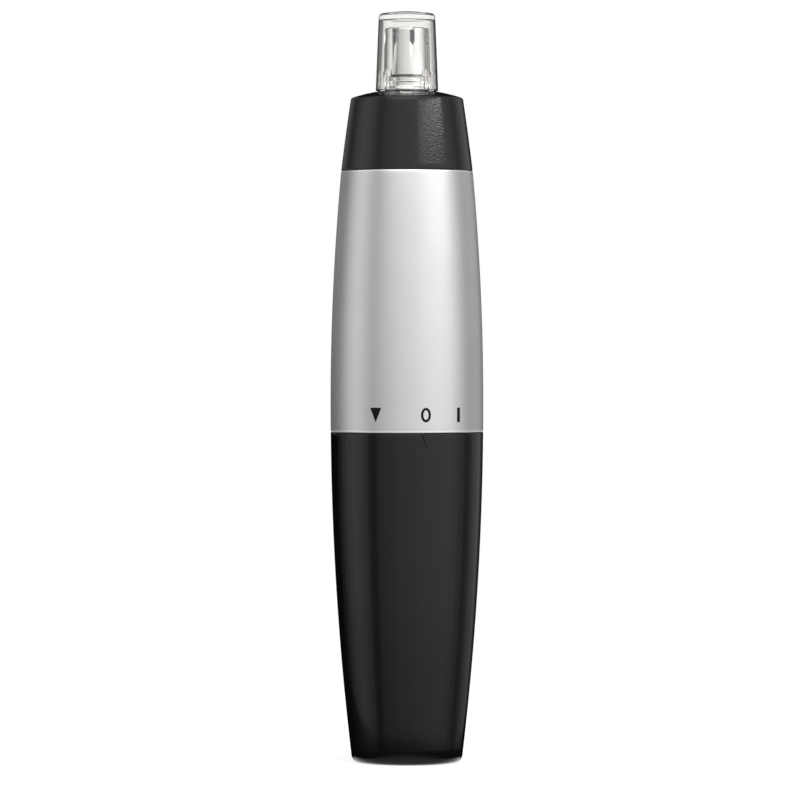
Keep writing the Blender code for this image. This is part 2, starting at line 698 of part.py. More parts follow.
def make_motor_can():
    """The flat-sided steel can with a boss at the drive end, and the bush in the boss."""
    can = plate("motor_can", double_d(MOTOR_RADIUS, MOTOR_FLAT), CAN_BOTTOM, CAN_TOP, "motor_steel", "barrel")
    combine(can, rod("motor_boss", BOSS_RADIUS, CAN_TOP - 0.5, BOSS_TOP), "UNION")
    hollow = double_d(MOTOR_RADIUS - CAN_WALL, MOTOR_FLAT - CAN_WALL)
    combine(can, plate("can_hollow", hollow, CAN_BOTTOM - 1, CAN_TOP - CAN_WALL))
    combine(can, rod("can_bush_hole", BUSH_RADIUS + CLEAR, CAN_TOP - 2, BOSS_TOP - 0.3))
    combine(can, rod("can_shaft_hole", SHAFT_RADIUS + 0.3, CAN_TOP, BOSS_TOP + 1))
    tube("front_bush", BUSH_RADIUS, SHAFT_RADIUS + 0.05, CAN_TOP - 1.2, BOSS_TOP - 0.4,
         "bearing_bronze", "barrel")


def make_motor_end_cap():
    """The nylon plug that closes the can, its bush, the two terminals and their brush leaves."""
    inset = CAN_WALL + 0.15
    plug = double_d(MOTOR_RADIUS - inset, MOTOR_FLAT - inset)
    end_cap = plate("motor_end_cap", plug, END_CAP_BOTTOM, CAN_BOTTOM + 0.8, "white_nylon", "barrel")
    combine(end_cap, rod("end_boss", BOSS_RADIUS, END_CAP_BOTTOM - 1.4, END_CAP_BOTTOM + 0.5), "UNION")
    combine(end_cap, rod("end_bush_hole", BUSH_RADIUS + CLEAR, END_CAP_BOTTOM - 0.9, CAN_BOTTOM + 2))
    for side in (-1, 1):
        slot = box(f"terminal_slot_{side}", (0.7, 2.5, 6), (side * TERMINAL_X, 0, END_CAP_BOTTOM + 1))
        combine(end_cap, slot)
    tube("rear_bush", BUSH_RADIUS, SHAFT_RADIUS + 0.05, END_CAP_BOTTOM - 0.8, END_CAP_BOTTOM + 1.4,
         "bearing_bronze", "barrel")
    for name, side in (("positive", 1), ("negative", -1)):
        box(f"terminal_{name}", (0.4, 2.1, 6.2), (side * TERMINAL_X, 0, END_CAP_BOTTOM - 0.4),
            "bearing_bronze", "barrel")
        leaf = plate(f"brush_{name}", [(-1.2, 2.35), (5.4, 3.3), (5.4, 3.55), (-1.2, 2.6)], 79.3, 80.9,
                     "bearing_bronze", "barrel")
        leaf.rotation_euler.z = 0 if side > 0 else math.pi


def make_magnets():
    """The two curved magnets inside the can, left and right of the armature."""
    outer, inner = MOTOR_RADIUS - CAN_WALL - CLEAR, CORE_RADIUS + 0.4
    angles = steps(-MAGNET_ANGLE, MAGNET_ANGLE, 8)
    magnet = [polar(outer, a) for a in angles] + [polar(inner, a) for a in reversed(angles)]
    for name, turn in (("magnet_right", 0), ("magnet_left", 180)):
        piece = plate(name, magnet, CORE_BOTTOM - 2.5, CORE_TOP + 2.5, "magnet_ferrite", "barrel")
        piece.rotation_euler.z = math.radians(turn)


def core_outline():
    """One lamination: three arms from the hub, each ending in a curved shoe."""
    points = []
    half_arm = ARM_WIDTH / 2
    for pole in range(POLES):
        centre = 90 + pole * 360 / POLES
        hub_half = math.degrees(math.asin(half_arm / HUB_RADIUS))
        shoe_half = math.degrees(math.asin(half_arm / SHOE_INNER))
        points += [polar(HUB_RADIUS, centre - hub_half), polar(SHOE_INNER, centre - shoe_half),
                   polar(SHOE_INNER, centre - SHOE_ANGLE)]
        points += [polar(CORE_RADIUS, centre + a) for a in steps(-SHOE_ANGLE, SHOE_ANGLE, 6)]
        points += [polar(SHOE_INNER, centre + SHOE_ANGLE), polar(SHOE_INNER, centre + shoe_half),
                   polar(HUB_RADIUS, centre + hub_half)]
    return points


def make_rotor():
    """The turning half of the motor: shaft, armature, coils, commutator, drive fork and spring."""
    rod("motor_shaft", SHAFT_RADIUS, END_CAP_BOTTOM - 0.6, SHAFT_TOP, "blade_steel", "rotor", 16)
    core = plate("armature_core", core_outline(), CORE_BOTTOM, CORE_TOP, "motor_steel", "rotor")
    combine(core, rod("core_bore", SHAFT_RADIUS + 0.05, CORE_BOTTOM - 1, CORE_TOP + 1, around=16))

    across = ARM_WIDTH / 2 + CLEAR + COIL_RADIUS
    along = (CORE_TOP - CORE_BOTTOM) / 2 + CLEAR + COIL_RADIUS
    middle = (CORE_TOP + CORE_BOTTOM) / 2
    for pole in range(POLES):
        winding = coil_loop(f"winding_{pole + 1}", 3.3, across, along, middle)
        winding.rotation_euler.z = math.radians(90 + pole * 360 / POLES)

    commutator = tube("commutator", 2.2, SHAFT_RADIUS + 0.05, 78.7, 81.3, "winding_copper", "rotor")
    for segment in range(3):
        azimuth = 30 + 120 * segment
        groove = box(f"commutator_groove_{segment}", (1.0, 0.3, 3.4), (2.2, 0, 80), azimuth=azimuth)
        combine(commutator, groove)
    make_drive_fork()


def coil_loop(name, radius, across, along, middle):
    """One armature coil: a closed loop round an arm, facing outwards at this radius."""
    curve = bpy.data.curves.new(name, "CURVE")
    curve.dimensions = "3D"
    curve.bevel_depth = COIL_RADIUS * MM
    curve.bevel_resolution = 1
    corner = 0.5
    spline = curve.splines.new("POLY")
    outline = [(across, along - corner), (across - corner, along), (corner - across, along),
               (-across, along - corner), (-across, corner - along), (corner - across, -along),
               (across - corner, -along), (across, corner - along)]
    spline.points.add(len(outline) - 1)
    for point, (y, z) in zip(spline.points, outline):
        point.co = (radius * MM, y * MM, (z + middle) * MM, 1)
    spline.use_cyclic_u = True
    obj = bpy.data.objects.new(name, curve)
    bpy.context.scene.collection.objects.link(obj)
    return to_mesh(obj, "winding_copper", "rotor")


def make_drive_fork():
    """The slotted coupling on the motor shaft, and the spring that presses the cutter against the comb."""
    fork = lathe(
        "drive_fork",
        [(FORK_RADIUS - 0.4, FORK_TOP), (FORK_RADIUS, FORK_TOP - 0.4), (FORK_RADIUS, FORK_BOTTOM),
         (SHAFT_RADIUS + 0.05, FORK_BOTTOM), (SHAFT_RADIUS + 0.05, FORK_FLOOR), (FORK_BORE, FORK_FLOOR),
         (FORK_BORE, FORK_TOP)],
        "white_nylon", "rotor", SMALL_ROUND,
    )
    combine(fork, box("fork_slot", (FORK_SLOT, 8, 4), (0, 0, FORK_FLOOR + 0.6 + 2)))
    coil("cutter_spring", 1.25, 1.25, 0.14, FORK_FLOOR, TANG_BOTTOM - CLEAR, 4, "contact_nickel", "rotor")


# ---------------------------------------------------------------- head

def make_head():
    """The black cone with its chrome neck, the ring that clamps it, the shaft bush and the slotted comb."""
    outer = [(cone_radius(z), z) for z in steps(SHOULDER_Z, HEAD_BOTTOM, 3)]
    dome = [(r, dome_height(r)) for r in steps(STEM_RADIUS + 0.2, SHOULDER_RADIUS - 0.45, 4)]
    under = [(r, dome_height(r) - HEAD_WALL) for r in steps(SHOULDER_RADIUS - 1.8, STEM_RADIUS + 0.2, 2)]
    inside = [(HEAD_BORE, HEAD_BOTTOM), (HEAD_BORE, 115.0), (9.4, 116.0),
              (SHOULDER_RADIUS - HEAD_WALL, 120.5)]
    housing = lathe("head_housing", dome + outer + inside + under, "black_plastic", "head")
    key = box("head_key", (1.5, KEY_WIDTH, 1.5), (HEAD_BORE - 0.45, 0, CUP_TOP - 0.6), azimuth=-90)
    combine(housing, key, "UNION")

    lathe(
        "neck_collar",
        [(NECK_SPIGOT, NECK_TOP), (NECK_SPIGOT, NECK_STEP_Z), (4.15, NECK_STEP_Z),
         (NECK_WAIST_RADIUS, NECK_STEP_Z - 0.4), (NECK_WAIST_RADIUS, FOOT_BOTTOM + 0.6),
         (FOOT_RADIUS, FOOT_BOTTOM + 0.2), (FOOT_RADIUS, FOOT_BOTTOM), (STEM_RADIUS, FOOT_BOTTOM),
         (STEM_RADIUS, STEM_BOTTOM), (2.4, STEM_BOTTOM), (2.4, 122.6), (1.5, 122.6), (1.5, NECK_TOP)],
        "chrome", "head", 28,
    )
    tube("collar_nut", 5.0, STEM_RADIUS + CLEAR, 119.9, 121.6, "white_nylon", "head")
    tube("cutter_bush", 2.3, CUTTER_SHAFT_RADIUS + CLEAR, 119.1, 122.5, "bearing_bronze", "head")
    make_comb()


def make_comb():
    """The chrome comb: a thin tube with a flat top, slotted from the top edge down to pointed tips."""
    inner_top = COMB_TOP_RADIUS - COMB_WALL
    comb = lathe(
        "comb",
        [(0, COMB_TOP), (COMB_TOP_RADIUS - 0.3, COMB_TOP), (COMB_TOP_RADIUS, COMB_TOP - 0.3),
         (COMB_RADIUS, COMB_BOTTOM + 0.6), (COMB_RADIUS - 0.4, COMB_BOTTOM),
         (NECK_SPIGOT + CLEAR, COMB_BOTTOM), (NECK_SPIGOT + CLEAR, NECK_TOP + 0.3),
         (inner_top + 0.05, NECK_TOP + 0.8), (inner_top, COMB_TOP - 0.5), (0, COMB_TOP - 0.5)],
        "chrome", "head", 32,
    )
    half = SLOT_WIDTH / 2
    outline = [(half, COMB_TOP + 1), (-half, COMB_TOP + 1), (-half, SLOT_BOTTOM + SLOT_TIP), (0, SLOT_BOTTOM),
               (half, SLOT_BOTTOM + SLOT_TIP)]
    for slot in range(COMB_SLOTS):
        azimuth = COMB_FIRST_SLOT + slot * 360 / COMB_SLOTS
        tool = plate(f"comb_slot_{slot}", outline, 1.9, 6.0, upright=True)
        tool.rotation_euler.z = math.radians(azimuth - 90)
        combine(comb, tool)


def blade_outline():
    """Plan of the cutter: four swept wings round a hub."""
    reach = COMB_TOP_RADIUS - COMB_WALL - 0.15
    points = []
    for wing in range(4):
        azimuth = 90 * wing
        points += [polar(1.45, azimuth - 16), polar(reach, azimuth - 3), polar(reach, azimuth + 5),
                   polar(1.45, azimuth + 16)]
    return points


def make_cutter():
    """The spinning cutter: blade, shaft, retaining clip and the tang that drops into the drive fork."""
    blade = plate("cutter_blade", blade_outline(), 130.8, 134.3, "blade_steel", "cutter")
    combine(blade, rod("blade_bore", CUTTER_SHAFT_RADIUS + 0.05, 130, 135, around=16))
    rod("cutter_shaft", CUTTER_SHAFT_RADIUS, DRIVER_FLOOR + 0.3, 134.2, "blade_steel", "cutter", 16)
    driver = rod("cutter_driver", 2.4, DRIVER_FLOOR - 0.5, DRIVER_TOP, "white_nylon", "cutter")
    tang = box("driver_tang", (FORK_SLOT - 0.4, 5.2, 2.4), (0, 0, TANG_BOTTOM + 1.2))
    combine(driver, tang, "UNION")
    bore = rod("driver_bore", CUTTER_SHAFT_RADIUS + 0.05, DRIVER_FLOOR + 0.1, DRIVER_TOP + 1, around=16)
    combine(driver, bore)
    clip = tube("shaft_clip", 2.0, CUTTER_SHAFT_RADIUS + 0.05, 118.2, 118.7, "blade_steel", "cutter", 16)
    combine(clip, box("clip_gap", (2.4, 1.2, 2), (1.5, 0, 118.5)))


# ---------------------------------------------------------------- cap

def make_cap():
    """The clear cap: a thick-topped tapering cup with eight grip ribs inside its mouth."""
    mouth, crown = CAP_MOUTH_RADIUS, CAP_CROWN_RADIUS
    cap = lathe(
        "protective_cap",
        [(0, CAP_TOP), (3.2, CAP_TOP - 0.1), (crown - 0.6, CAP_TOP - 0.4), (crown, CAP_TOP - 1.2),
         (mouth, CAP_BOTTOM), (mouth - CAP_WALL, CAP_BOTTOM), (crown - CAP_WALL, CAP_TOP - 2.0),
         (crown - CAP_WALL - 0.4, CAP_TOP - 1.5), (0, CAP_TOP - 1.4)],
        "clear_plastic", "cap", 32,
    )
    rib_middle = CAP_BOTTOM + 0.2 + CAP_RIB_HEIGHT / 2
    for side in (0, 180):
        for offset in CAP_RIB_ANGLES:
            rib = box(f"cap_rib_{side}_{offset}", (0.8, 0.5, CAP_RIB_HEIGHT), (4.95, 0, rib_middle),
                      azimuth=side + offset)
            combine(cap, rib, "UNION")


# ---------------------------------------------------------------- finishing

def bake_pieces():
    """Applies each piece's modifiers, shades its round faces smooth, and removes the cutters."""
    bpy.context.view_layer.update()
    graph = bpy.context.evaluated_depsgraph_get()
    pieces = [o for o in collection(OBJECT).objects if o.type == "MESH"]
    meshes = {o: bpy.data.meshes.new_from_object(o.evaluated_get(graph)) for o in pieces}
    for obj, mesh in meshes.items():
        obj.modifiers.clear()
        obj.data = mesh
        mesh.name = obj.name
        mesh.shade_smooth()
        mesh.set_sharp_from_angle(angle=math.radians(35))
    for tool in list(collection(CUTTERS).objects):
        bpy.data.objects.remove(tool, do_unlink=True)


def main():
    clear_scene()
    make_battery_cover()
    make_cover_contacts()
    make_cell()
    make_barrel_shell()
    make_battery_frame()
    make_motor_frame()
    make_frame_screws()
    make_seals()
    make_barrel_contacts()
    make_wires()
    make_motor_can()
    make_motor_end_cap()
    make_magnets()
    make_rotor()
    make_head()
    make_cutter()
    make_cap()
    bake_pieces()


main()
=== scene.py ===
"""The looks of a cordless nose hair trimmer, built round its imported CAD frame.

The shells, the chrome neck and comb, the cap and the cell's wrap and button are remade here as fine meshes
with rounded edges. The inner pieces keep their CAD shape. Every piece gets a procedural material. Lengths
are in millimetres, angles in degrees and heights measured from the base, and helpers turn them into
Blender's units. A piece's azimuth is measured about the axis from +X, and the front faces -Y, at -90.
"""

import json
import math

import bmesh
import bpy
from mathutils import Matrix, Vector


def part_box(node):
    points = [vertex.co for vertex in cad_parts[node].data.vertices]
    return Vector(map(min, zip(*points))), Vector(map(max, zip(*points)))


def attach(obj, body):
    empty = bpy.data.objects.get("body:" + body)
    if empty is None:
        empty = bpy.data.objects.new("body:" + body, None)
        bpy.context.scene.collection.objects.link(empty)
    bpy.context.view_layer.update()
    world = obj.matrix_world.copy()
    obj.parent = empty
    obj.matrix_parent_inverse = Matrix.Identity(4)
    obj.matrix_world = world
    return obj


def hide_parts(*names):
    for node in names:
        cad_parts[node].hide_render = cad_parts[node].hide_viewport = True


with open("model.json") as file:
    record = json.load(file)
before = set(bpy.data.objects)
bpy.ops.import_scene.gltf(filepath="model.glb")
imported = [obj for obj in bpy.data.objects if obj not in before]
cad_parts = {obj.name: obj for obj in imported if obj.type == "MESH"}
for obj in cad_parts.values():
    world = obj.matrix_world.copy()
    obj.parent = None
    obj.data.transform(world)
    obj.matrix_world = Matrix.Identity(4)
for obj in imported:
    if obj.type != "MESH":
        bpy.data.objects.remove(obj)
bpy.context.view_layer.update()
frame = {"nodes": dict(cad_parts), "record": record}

MM = 0.001

# The outside line, as in the CAD: two long arcs that meet at the waist.
WAIST_Z = 66.0
WAIST_RADIUS = 14.08
LOWER_ARC = 551.0
UPPER_ARC = 465.0


def top(node):
    """Height of a CAD node's highest point."""
    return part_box(node)[1].z / MM


def bottom(node):
    """Height of a CAD node's lowest point."""
    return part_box(node)[0].z / MM


COVER_TOP = top("battery_cover")
BARREL_BOTTOM, BARREL_TOP = bottom("barrel_shell"), top("barrel_shell")
HEAD_BOTTOM = bottom("head_housing")
COMB_BOTTOM, COMB_TOP = bottom("comb"), top("comb")
CAP_BOTTOM, CAP_TOP = bottom("protective_cap"), top("protective_cap")
CELL_BOTTOM, CELL_SHOULDER = bottom("cell_sleeve"), top("cell_sleeve")
BUTTON_TOP = top("cell_button")
CELL_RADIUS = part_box("cell_sleeve")[1].x / MM

# The seams between cover, barrel and head are nearly closed: the shells reach into the CAD's clearance.
SEAM = 0.1
BARREL_FOOT = COVER_TOP + SEAM
HEAD_FOOT = BARREL_TOP + SEAM
# The rounding of the shells' outer and inner edges at a seam.
SEAM_EDGE, INNER_EDGE = 0.14, 0.2


def grip_radius(z):
    """Outer radius of cover and barrel at this height."""
    arc = LOWER_ARC if z < WAIST_Z else UPPER_ARC
    return WAIST_RADIUS - arc + math.sqrt(arc**2 - (z - WAIST_Z) ** 2)


# Edges sharper than this stay crisp in the shading, on the pieces made here and on the CAD's.
CREASE, CAD_CREASE = 30, 32


# ---------------------------------------------------------------- shapes

def steps(start, end, count):
    """count + 1 evenly spaced values from start to end."""
    return [start + (end - start) * i / count for i in range(count + 1)]


def rounded(corners, arc_steps=5):
    """Turns a closed outline of (radius, height, fillet) corners into (radius, height) points."""
    points = []
    for i, (r, z, fillet) in enumerate(corners):
        here = Vector((r, z))
        if not fillet:
            points.append((r, z))
            continue
        before = (Vector(corners[i - 1][:2]) - here).normalized()
        after = (Vector(corners[(i + 1) % len(corners)][:2]) - here).normalized()
        half = before.angle(after) / 2
        centre = here + (before + after).normalized() * fillet / math.sin(half)
        first = here + before * fillet / math.tan(half) - centre
        last = here + after * fillet / math.tan(half) - centre
        turn = first.angle(last)
        for t in steps(0, 1, arc_steps):
            spoke = (first * math.sin((1 - t) * turn) + last * math.sin(t * turn)) / math.sin(turn)
            points.append(tuple(centre + spoke))
    return points


def lathe(name, points, segments=128):
    """Turns (radius, height) points about Z. A profile with no point on the axis is closed into a ring."""
    bm = bmesh.new()
    verts = [bm.verts.new((r * MM, 0, z * MM)) for r, z in points]
    edges = [bm.edges.new(pair) for pair in zip(verts, verts[1:])]
    if points[0][0] > 0:
        edges.append(bm.edges.new((verts[-1], verts[0])))
    bmesh.ops.spin(
        bm, geom=verts + edges, cent=(0, 0, 0), axis=(0, 0, 1), angle=math.tau, steps=segments,
        use_merge=True,
    )
    bmesh.ops.remove_doubles(bm, verts=bm.verts, dist=1e-7)
    bmesh.ops.dissolve_degenerate(bm, dist=1e-8, edges=bm.edges)
    bmesh.ops.recalc_face_normals(bm, faces=bm.faces)
    return link(name, bm)


def link(name, bm):
    """Makes an object of a bmesh and frees the bmesh."""
    mesh = bpy.data.meshes.new(name)
    bm.to_mesh(mesh)
    bm.free()
    obj = bpy.data.objects.new(name, mesh)
    bpy.context.scene.collection.objects.link(obj)
    return obj


def turn_about_axis(bm, azimuth):
    """Turns a bmesh about the trimmer's axis."""
    matrix = Matrix.Rotation(math.radians(azimuth), 3, "Z")
    bmesh.ops.rotate(bm, verts=bm.verts, cent=(0, 0, 0), matrix=matrix)


def block(name, size, centre, azimuth, bevel):
    """A block of size (x, y, z) about a centre, with bevelled edges, turned about the axis by azimuth."""
    bm = bmesh.new()
    bmesh.ops.create_cube(bm, size=1.0)
    bmesh.ops.scale(bm, verts=bm.verts, vec=Vector(size) * MM)
    bmesh.ops.bevel(bm, geom=bm.edges[:], offset=bevel * MM, segments=2, affect="EDGES", profile=0.5)
    bmesh.ops.translate(bm, verts=bm.verts, vec=Vector(centre) * MM)
    turn_about_axis(bm, azimuth)
    return link(name, bm)


def extruded(name, points, push, azimuth=0.0):
    """A flat face of (x, y, z) points pushed along a vector, then turned about the axis by azimuth."""
    bm = bmesh.new()
    face = bm.faces.new([bm.verts.new([c * MM for c in point]) for point in points])
    made = bmesh.ops.extrude_face_region(bm, geom=[face])["geom"]
    moved = [v for v in made if isinstance(v, bmesh.types.BMVert)]
    bmesh.ops.translate(bm, verts=moved, vec=[c * MM for c in push])
    bmesh.ops.recalc_face_normals(bm, faces=bm.faces)
    turn_about_axis(bm, azimuth)
    return link(name, bm)


def prism(name, outline, near, far, azimuth):
    """An upright outline of (sideways, height) points pushed outwards from radius near to far."""
    return extruded(name, [(-x, near, z) for x, z in outline], (0, far - near, 0), azimuth - 90)


def flat_sector(name, inner, outer, start, end, low, high):
    """A block bounded by two radii, two azimuths and two heights."""
    angles = [math.radians(a) for a in steps(start, end, 8)]
    ring = [(inner * math.cos(a), inner * math.sin(a), low) for a in angles]
    ring += [(outer * math.cos(a), outer * math.sin(a), low) for a in reversed(angles)]
    return extruded(name, ring, (0, 0, high - low))


def settle(obj):
    """Replaces an object's mesh by what its modifiers make of it."""
    bpy.context.view_layer.update()
    graph = bpy.context.evaluated_depsgraph_get()
    mesh = bpy.data.meshes.new_from_object(obj.evaluated_get(graph))
    obj.modifiers.clear()
    obj.data = mesh
    return obj


def combine(obj, tools, operation):
    """Cuts the tools from obj (DIFFERENCE) or joins them to it (UNION), one by one, and removes them."""
    for tool in tools:
        boolean = obj.modifiers.new("Cut", "BOOLEAN")
        boolean.operation = operation
        boolean.solver = "EXACT"
        boolean.object = tool
        settle(obj)
        bpy.data.objects.remove(tool, do_unlink=True)
    return obj


def soften(obj, width, angle):
    """Rounds the edges sharper than an angle by a width."""
    bevel = obj.modifiers.new("Edges", "BEVEL")
    bevel.width = width * MM
    bevel.segments = 2
    bevel.limit_method = "ANGLE"
    bevel.angle_limit = math.radians(angle)
    bevel.use_clamp_overlap = True
    return settle(obj)


def finish_piece(obj, look, body, *nodes, slot=None):
    """Gives a piece its material and shading, and puts it on its body in place of the CAD nodes."""
    obj.data.materials.clear()
    obj.data.materials.append(look)
    obj.data.shade_smooth()
    obj.data.set_sharp_from_angle(angle=math.radians(CREASE))
    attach(obj, body)
    if nodes:
        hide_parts(*nodes)


# ---------------------------------------------------------------- material building blocks

def node(tree, kind, settings=None, **inputs):
    """Adds a shader node. Inputs are values or nodes' output sockets, by name or by position as i0, i1."""
    made = tree.nodes.new("ShaderNode" + kind)
    for key, value in (settings or {}).items():
        setattr(made, key, value)
    for key, value in inputs.items():
        place = int(key[1:]) if key[0] == "i" and key[1:].isdigit() else key.replace("_", " ")
        socket = made.inputs[place]
        if isinstance(value, bpy.types.NodeSocket):
            tree.links.new(value, socket)
        else:
            socket.default_value = value
    return made


def math_node(tree, operation, a, b=0.0):
    """The output of a Math node with one or two inputs."""
    return node(tree, "Math", {"operation": operation}, i0=a, i1=b).outputs[0]


def product(tree, a, b):
    """a times b."""
    return math_node(tree, "MULTIPLY", a, b)


def spread(tree, value, start, end, low=0.0, high=1.0):
    """Makes a value that runs from start to end run from low to high, and holds it at the ends."""
    return node(tree, "MapRange", i0=value, i1=start, i2=end, i3=low, i4=high).outputs["Result"]


def ramp(tree, factor, stops, interpolation="LINEAR"):
    """A Color Ramp with (position, grey or colour) stops."""
    made = node(tree, "ValToRGB", Fac=factor)
    made.color_ramp.interpolation = interpolation
    elements = made.color_ramp.elements
    while len(elements) < len(stops):
        elements.new(0.5)
    for element, (place, value) in zip(elements, stops):
        colour = (value, value, value) if isinstance(value, (int, float)) else value
        element.position = place
        element.color = (*colour, 1.0)
    return made.outputs["Color"]


def noise(tree, vector, per_mm, detail=2.0, roughness=0.5):
    """Noise with this many cells to the millimetre."""
    made = node(tree, "TexNoise", Vector=vector, Scale=per_mm * 1000, Detail=detail, Roughness=roughness)
    return made.outputs["Fac"]


def mix_colour(tree, factor, a, b, blend="MIX"):
    """Blend of two colours."""
    made = node(tree, "Mix", {"data_type": "RGBA", "blend_type": blend}, Factor=factor)
    for place, value in (("A", a), ("B", b)):
        socket = [s for s in made.inputs if s.name == place and s.type == "RGBA"][0]
        if isinstance(value, bpy.types.NodeSocket):
            tree.links.new(value, socket)
        else:
            socket.default_value = (*value, 1.0)
    return [s for s in made.outputs if s.type == "RGBA"][0]


def new_look(name):
    """An empty node material: its tree, its Principled shader and its object coordinates."""
    look = bpy.data.materials.new(name)
    look.use_nodes = True
    tree = look.node_tree
    shader = tree.nodes["Principled BSDF"]
    place = node(tree, "TexCoord").outputs["Object"]
    return look, tree, shader, place


def feed(tree, shader, **values):
    """Sets or links the Principled shader's inputs."""
    for key, value in values.items():
        socket = shader.inputs[key.replace("_", " ")]
        if isinstance(value, bpy.types.NodeSocket):
            tree.links.new(value, socket)
        elif socket.type == "RGBA":
            socket.default_value = (*value, 1.0)
        else:
            socket.default_value = value


def bump(tree, height, depth, normal=None):
    """A bump from a 0 to 1 height, depth millimetres deep, over another bump's normal if one is given."""
    made = node(tree, "Bump", Distance=depth * MM, Height=height)
    if normal is not None:
        tree.links.new(normal, made.inputs["Normal"])
    return made.outputs["Normal"]


def vary(tree, factor, low, high):
    """Noise spread from low to high. It seldom leaves the middle of its range."""
    return spread(tree, factor, 0.3, 0.7, low, high)


def shades(colour, share):
    """A colour made darker or lighter by a share of it."""
    return tuple(c * share for c in colour)


def between(tree, angle, low, high, soft):
    """1 where an angle in radians is between two limits in degrees, falling to 0 over a soft edge."""
    rise = spread(tree, angle, math.radians(low - soft), math.radians(low + soft))
    fall = spread(tree, angle, math.radians(high - soft), math.radians(high + soft), 1.0, 0.0)
    return product(tree, rise, fall)


def stretched(tree, place, x, y, z):
    """Coordinates scaled along each axis, for marks that run one way."""
    return node(tree, "Mapping", Vector=place, Scale=(x, y, z)).outputs["Vector"]


# ---------------------------------------------------------------- materials

def black_plastic(name, tone, gloss_ior, smooth, grain_depth, grain_per_mm):
    """Moulded black plastic: fine grain, uneven gloss where it has been handled, and the odd pale speck."""
    look, tree, shader, place = new_look(name)
    cloud = noise(tree, place, 0.09, 3.0)
    speck = noise(tree, place, 14.0, 1.0)
    grain = noise(tree, place, grain_per_mm, 0.0)
    waves = noise(tree, place, 0.6, 1.0)
    base, pale = (tone, tone, tone * 1.03), (tone * 2, tone * 2, tone * 2)
    handled = vary(tree, cloud, smooth - 0.015, smooth + 0.02)
    feed(
        tree, shader, Base_Color=mix_colour(tree, vary(tree, speck, 0.0, 0.35), base, pale), IOR=gloss_ior,
        Roughness=math_node(tree, "ADD", handled, vary(tree, grain, 0.0, 0.015)),
        Normal=bump(tree, waves, 0.002, normal=bump(tree, grain, grain_depth)),
    )
    return look


def silver_paint():
    """Satin silver: metal flakes of different tilt under a thin matt lacquer, with a painted highlight along
    the rolled rims.
    """
    look, tree, shader, place = new_look("silver_paint")
    flake = node(tree, "TexVoronoi", {"feature": "F1"}, Vector=place, Scale=16000.0)
    tilt = node(tree, "SeparateColor", Color=flake.outputs["Color"])
    cloud = noise(tree, place, 0.12, 2.0)
    fine = noise(tree, place, 5.0, 3.0)
    shade = mix_colour(tree, vary(tree, cloud, 0.2, 0.8), (0.64, 0.642, 0.65), (0.68, 0.68, 0.685))
    sparkle = mix_colour(tree, product(tree, tilt.outputs["Red"], 0.14), shade, (0.95, 0.95, 0.97))

    # Painted highlight: within a third of a millimetre of the barrel's ends the colour turns near white,
    # standing in for light caught by the rolled rims.
    rim_highlight_start, rim_highlight_full = 0.35 * MM, 0.15 * MM
    height = node(tree, "SeparateXYZ", Vector=place).outputs["Z"]
    middle, half = (BARREL_BOTTOM + BARREL_TOP) / 2 * MM, (BARREL_TOP - BARREL_BOTTOM) / 2 * MM
    from_middle = math_node(tree, "ABSOLUTE", math_node(tree, "SUBTRACT", height, middle))
    # rim is the share of painted highlight: 0 on the barrel's side, 1 at its very ends.
    rim = spread(tree, from_middle, half - rim_highlight_start, half - rim_highlight_full)

    lacquer = product(tree, tilt.outputs["Green"], 0.05)
    feed(
        tree, shader, Base_Color=mix_colour(tree, rim, sparkle, (0.97, 0.97, 0.97)), Metallic=0.86,
        Roughness=math_node(tree, "ADD", vary(tree, fine, 0.33, 0.36), lacquer),
        Normal=bump(tree, fine, 0.001, normal=bump(tree, tilt.outputs["Blue"], 0.0005)),
    )
    return look


def polished_metal(name, colour, rough, turned_depth, per_mm=6.0):
    """Plated or ground metal with faint turning marks round its axis, and smears in the polish."""
    look, tree, shader, place = new_look(name)
    rings = noise(tree, stretched(tree, place, 0.04, 0.04, 1.0), per_mm, 3.0, 0.7)
    smear = noise(tree, place, 0.35, 3.0)
    pits = noise(tree, place, 9.0, 1.0)
    smeared = vary(tree, smear, rough * 0.8, rough * 1.3)
    feed(
        tree, shader, Base_Color=mix_colour(tree, vary(tree, smear, 0.0, 0.5), colour, shades(colour, 0.9)),
        Metallic=1.0, Roughness=math_node(tree, "ADD", smeared, vary(tree, pits, 0.0, rough * 0.3)),
        Normal=bump(tree, rings, turned_depth),
    )
    return look


def brushed_steel(name, colour, rough):
    """Rolled sheet steel: streaks along the axis and a dull, uneven surface."""
    look, tree, shader, place = new_look(name)
    streak = noise(tree, stretched(tree, place, 1.0, 1.0, 0.03), 8.0, 3.0, 0.7)
    patch = noise(tree, place, 0.4, 4.0)
    shade = mix_colour(tree, vary(tree, patch, 0.0, 0.6), colour, shades(colour, 0.78))
    gloss = vary(tree, streak, rough - 0.07, rough + 0.1)
    feed(tree, shader, Base_Color=shade, Metallic=1.0, Roughness=gloss, Normal=bump(tree, streak, 0.002))
    return look


def moulded(name, colour, rough, sheen=0.0):
    """A plain moulded plastic or rubber: fine texture, flow marks and slight colour drift."""
    look, tree, shader, place = new_look(name)
    drift = noise(tree, place, 0.25, 2.0)
    grain = noise(tree, place, 7.0, 2.0)
    shade = mix_colour(tree, vary(tree, drift, 0.0, 0.7), colour, shades(colour, 0.82))
    gloss = vary(tree, grain, rough - 0.05, rough + 0.07)
    feed(
        tree, shader, Base_Color=shade, Roughness=gloss, Normal=bump(tree, grain, 0.004),
        Sheen_Weight=sheen, Sheen_Roughness=0.4,
    )
    return look


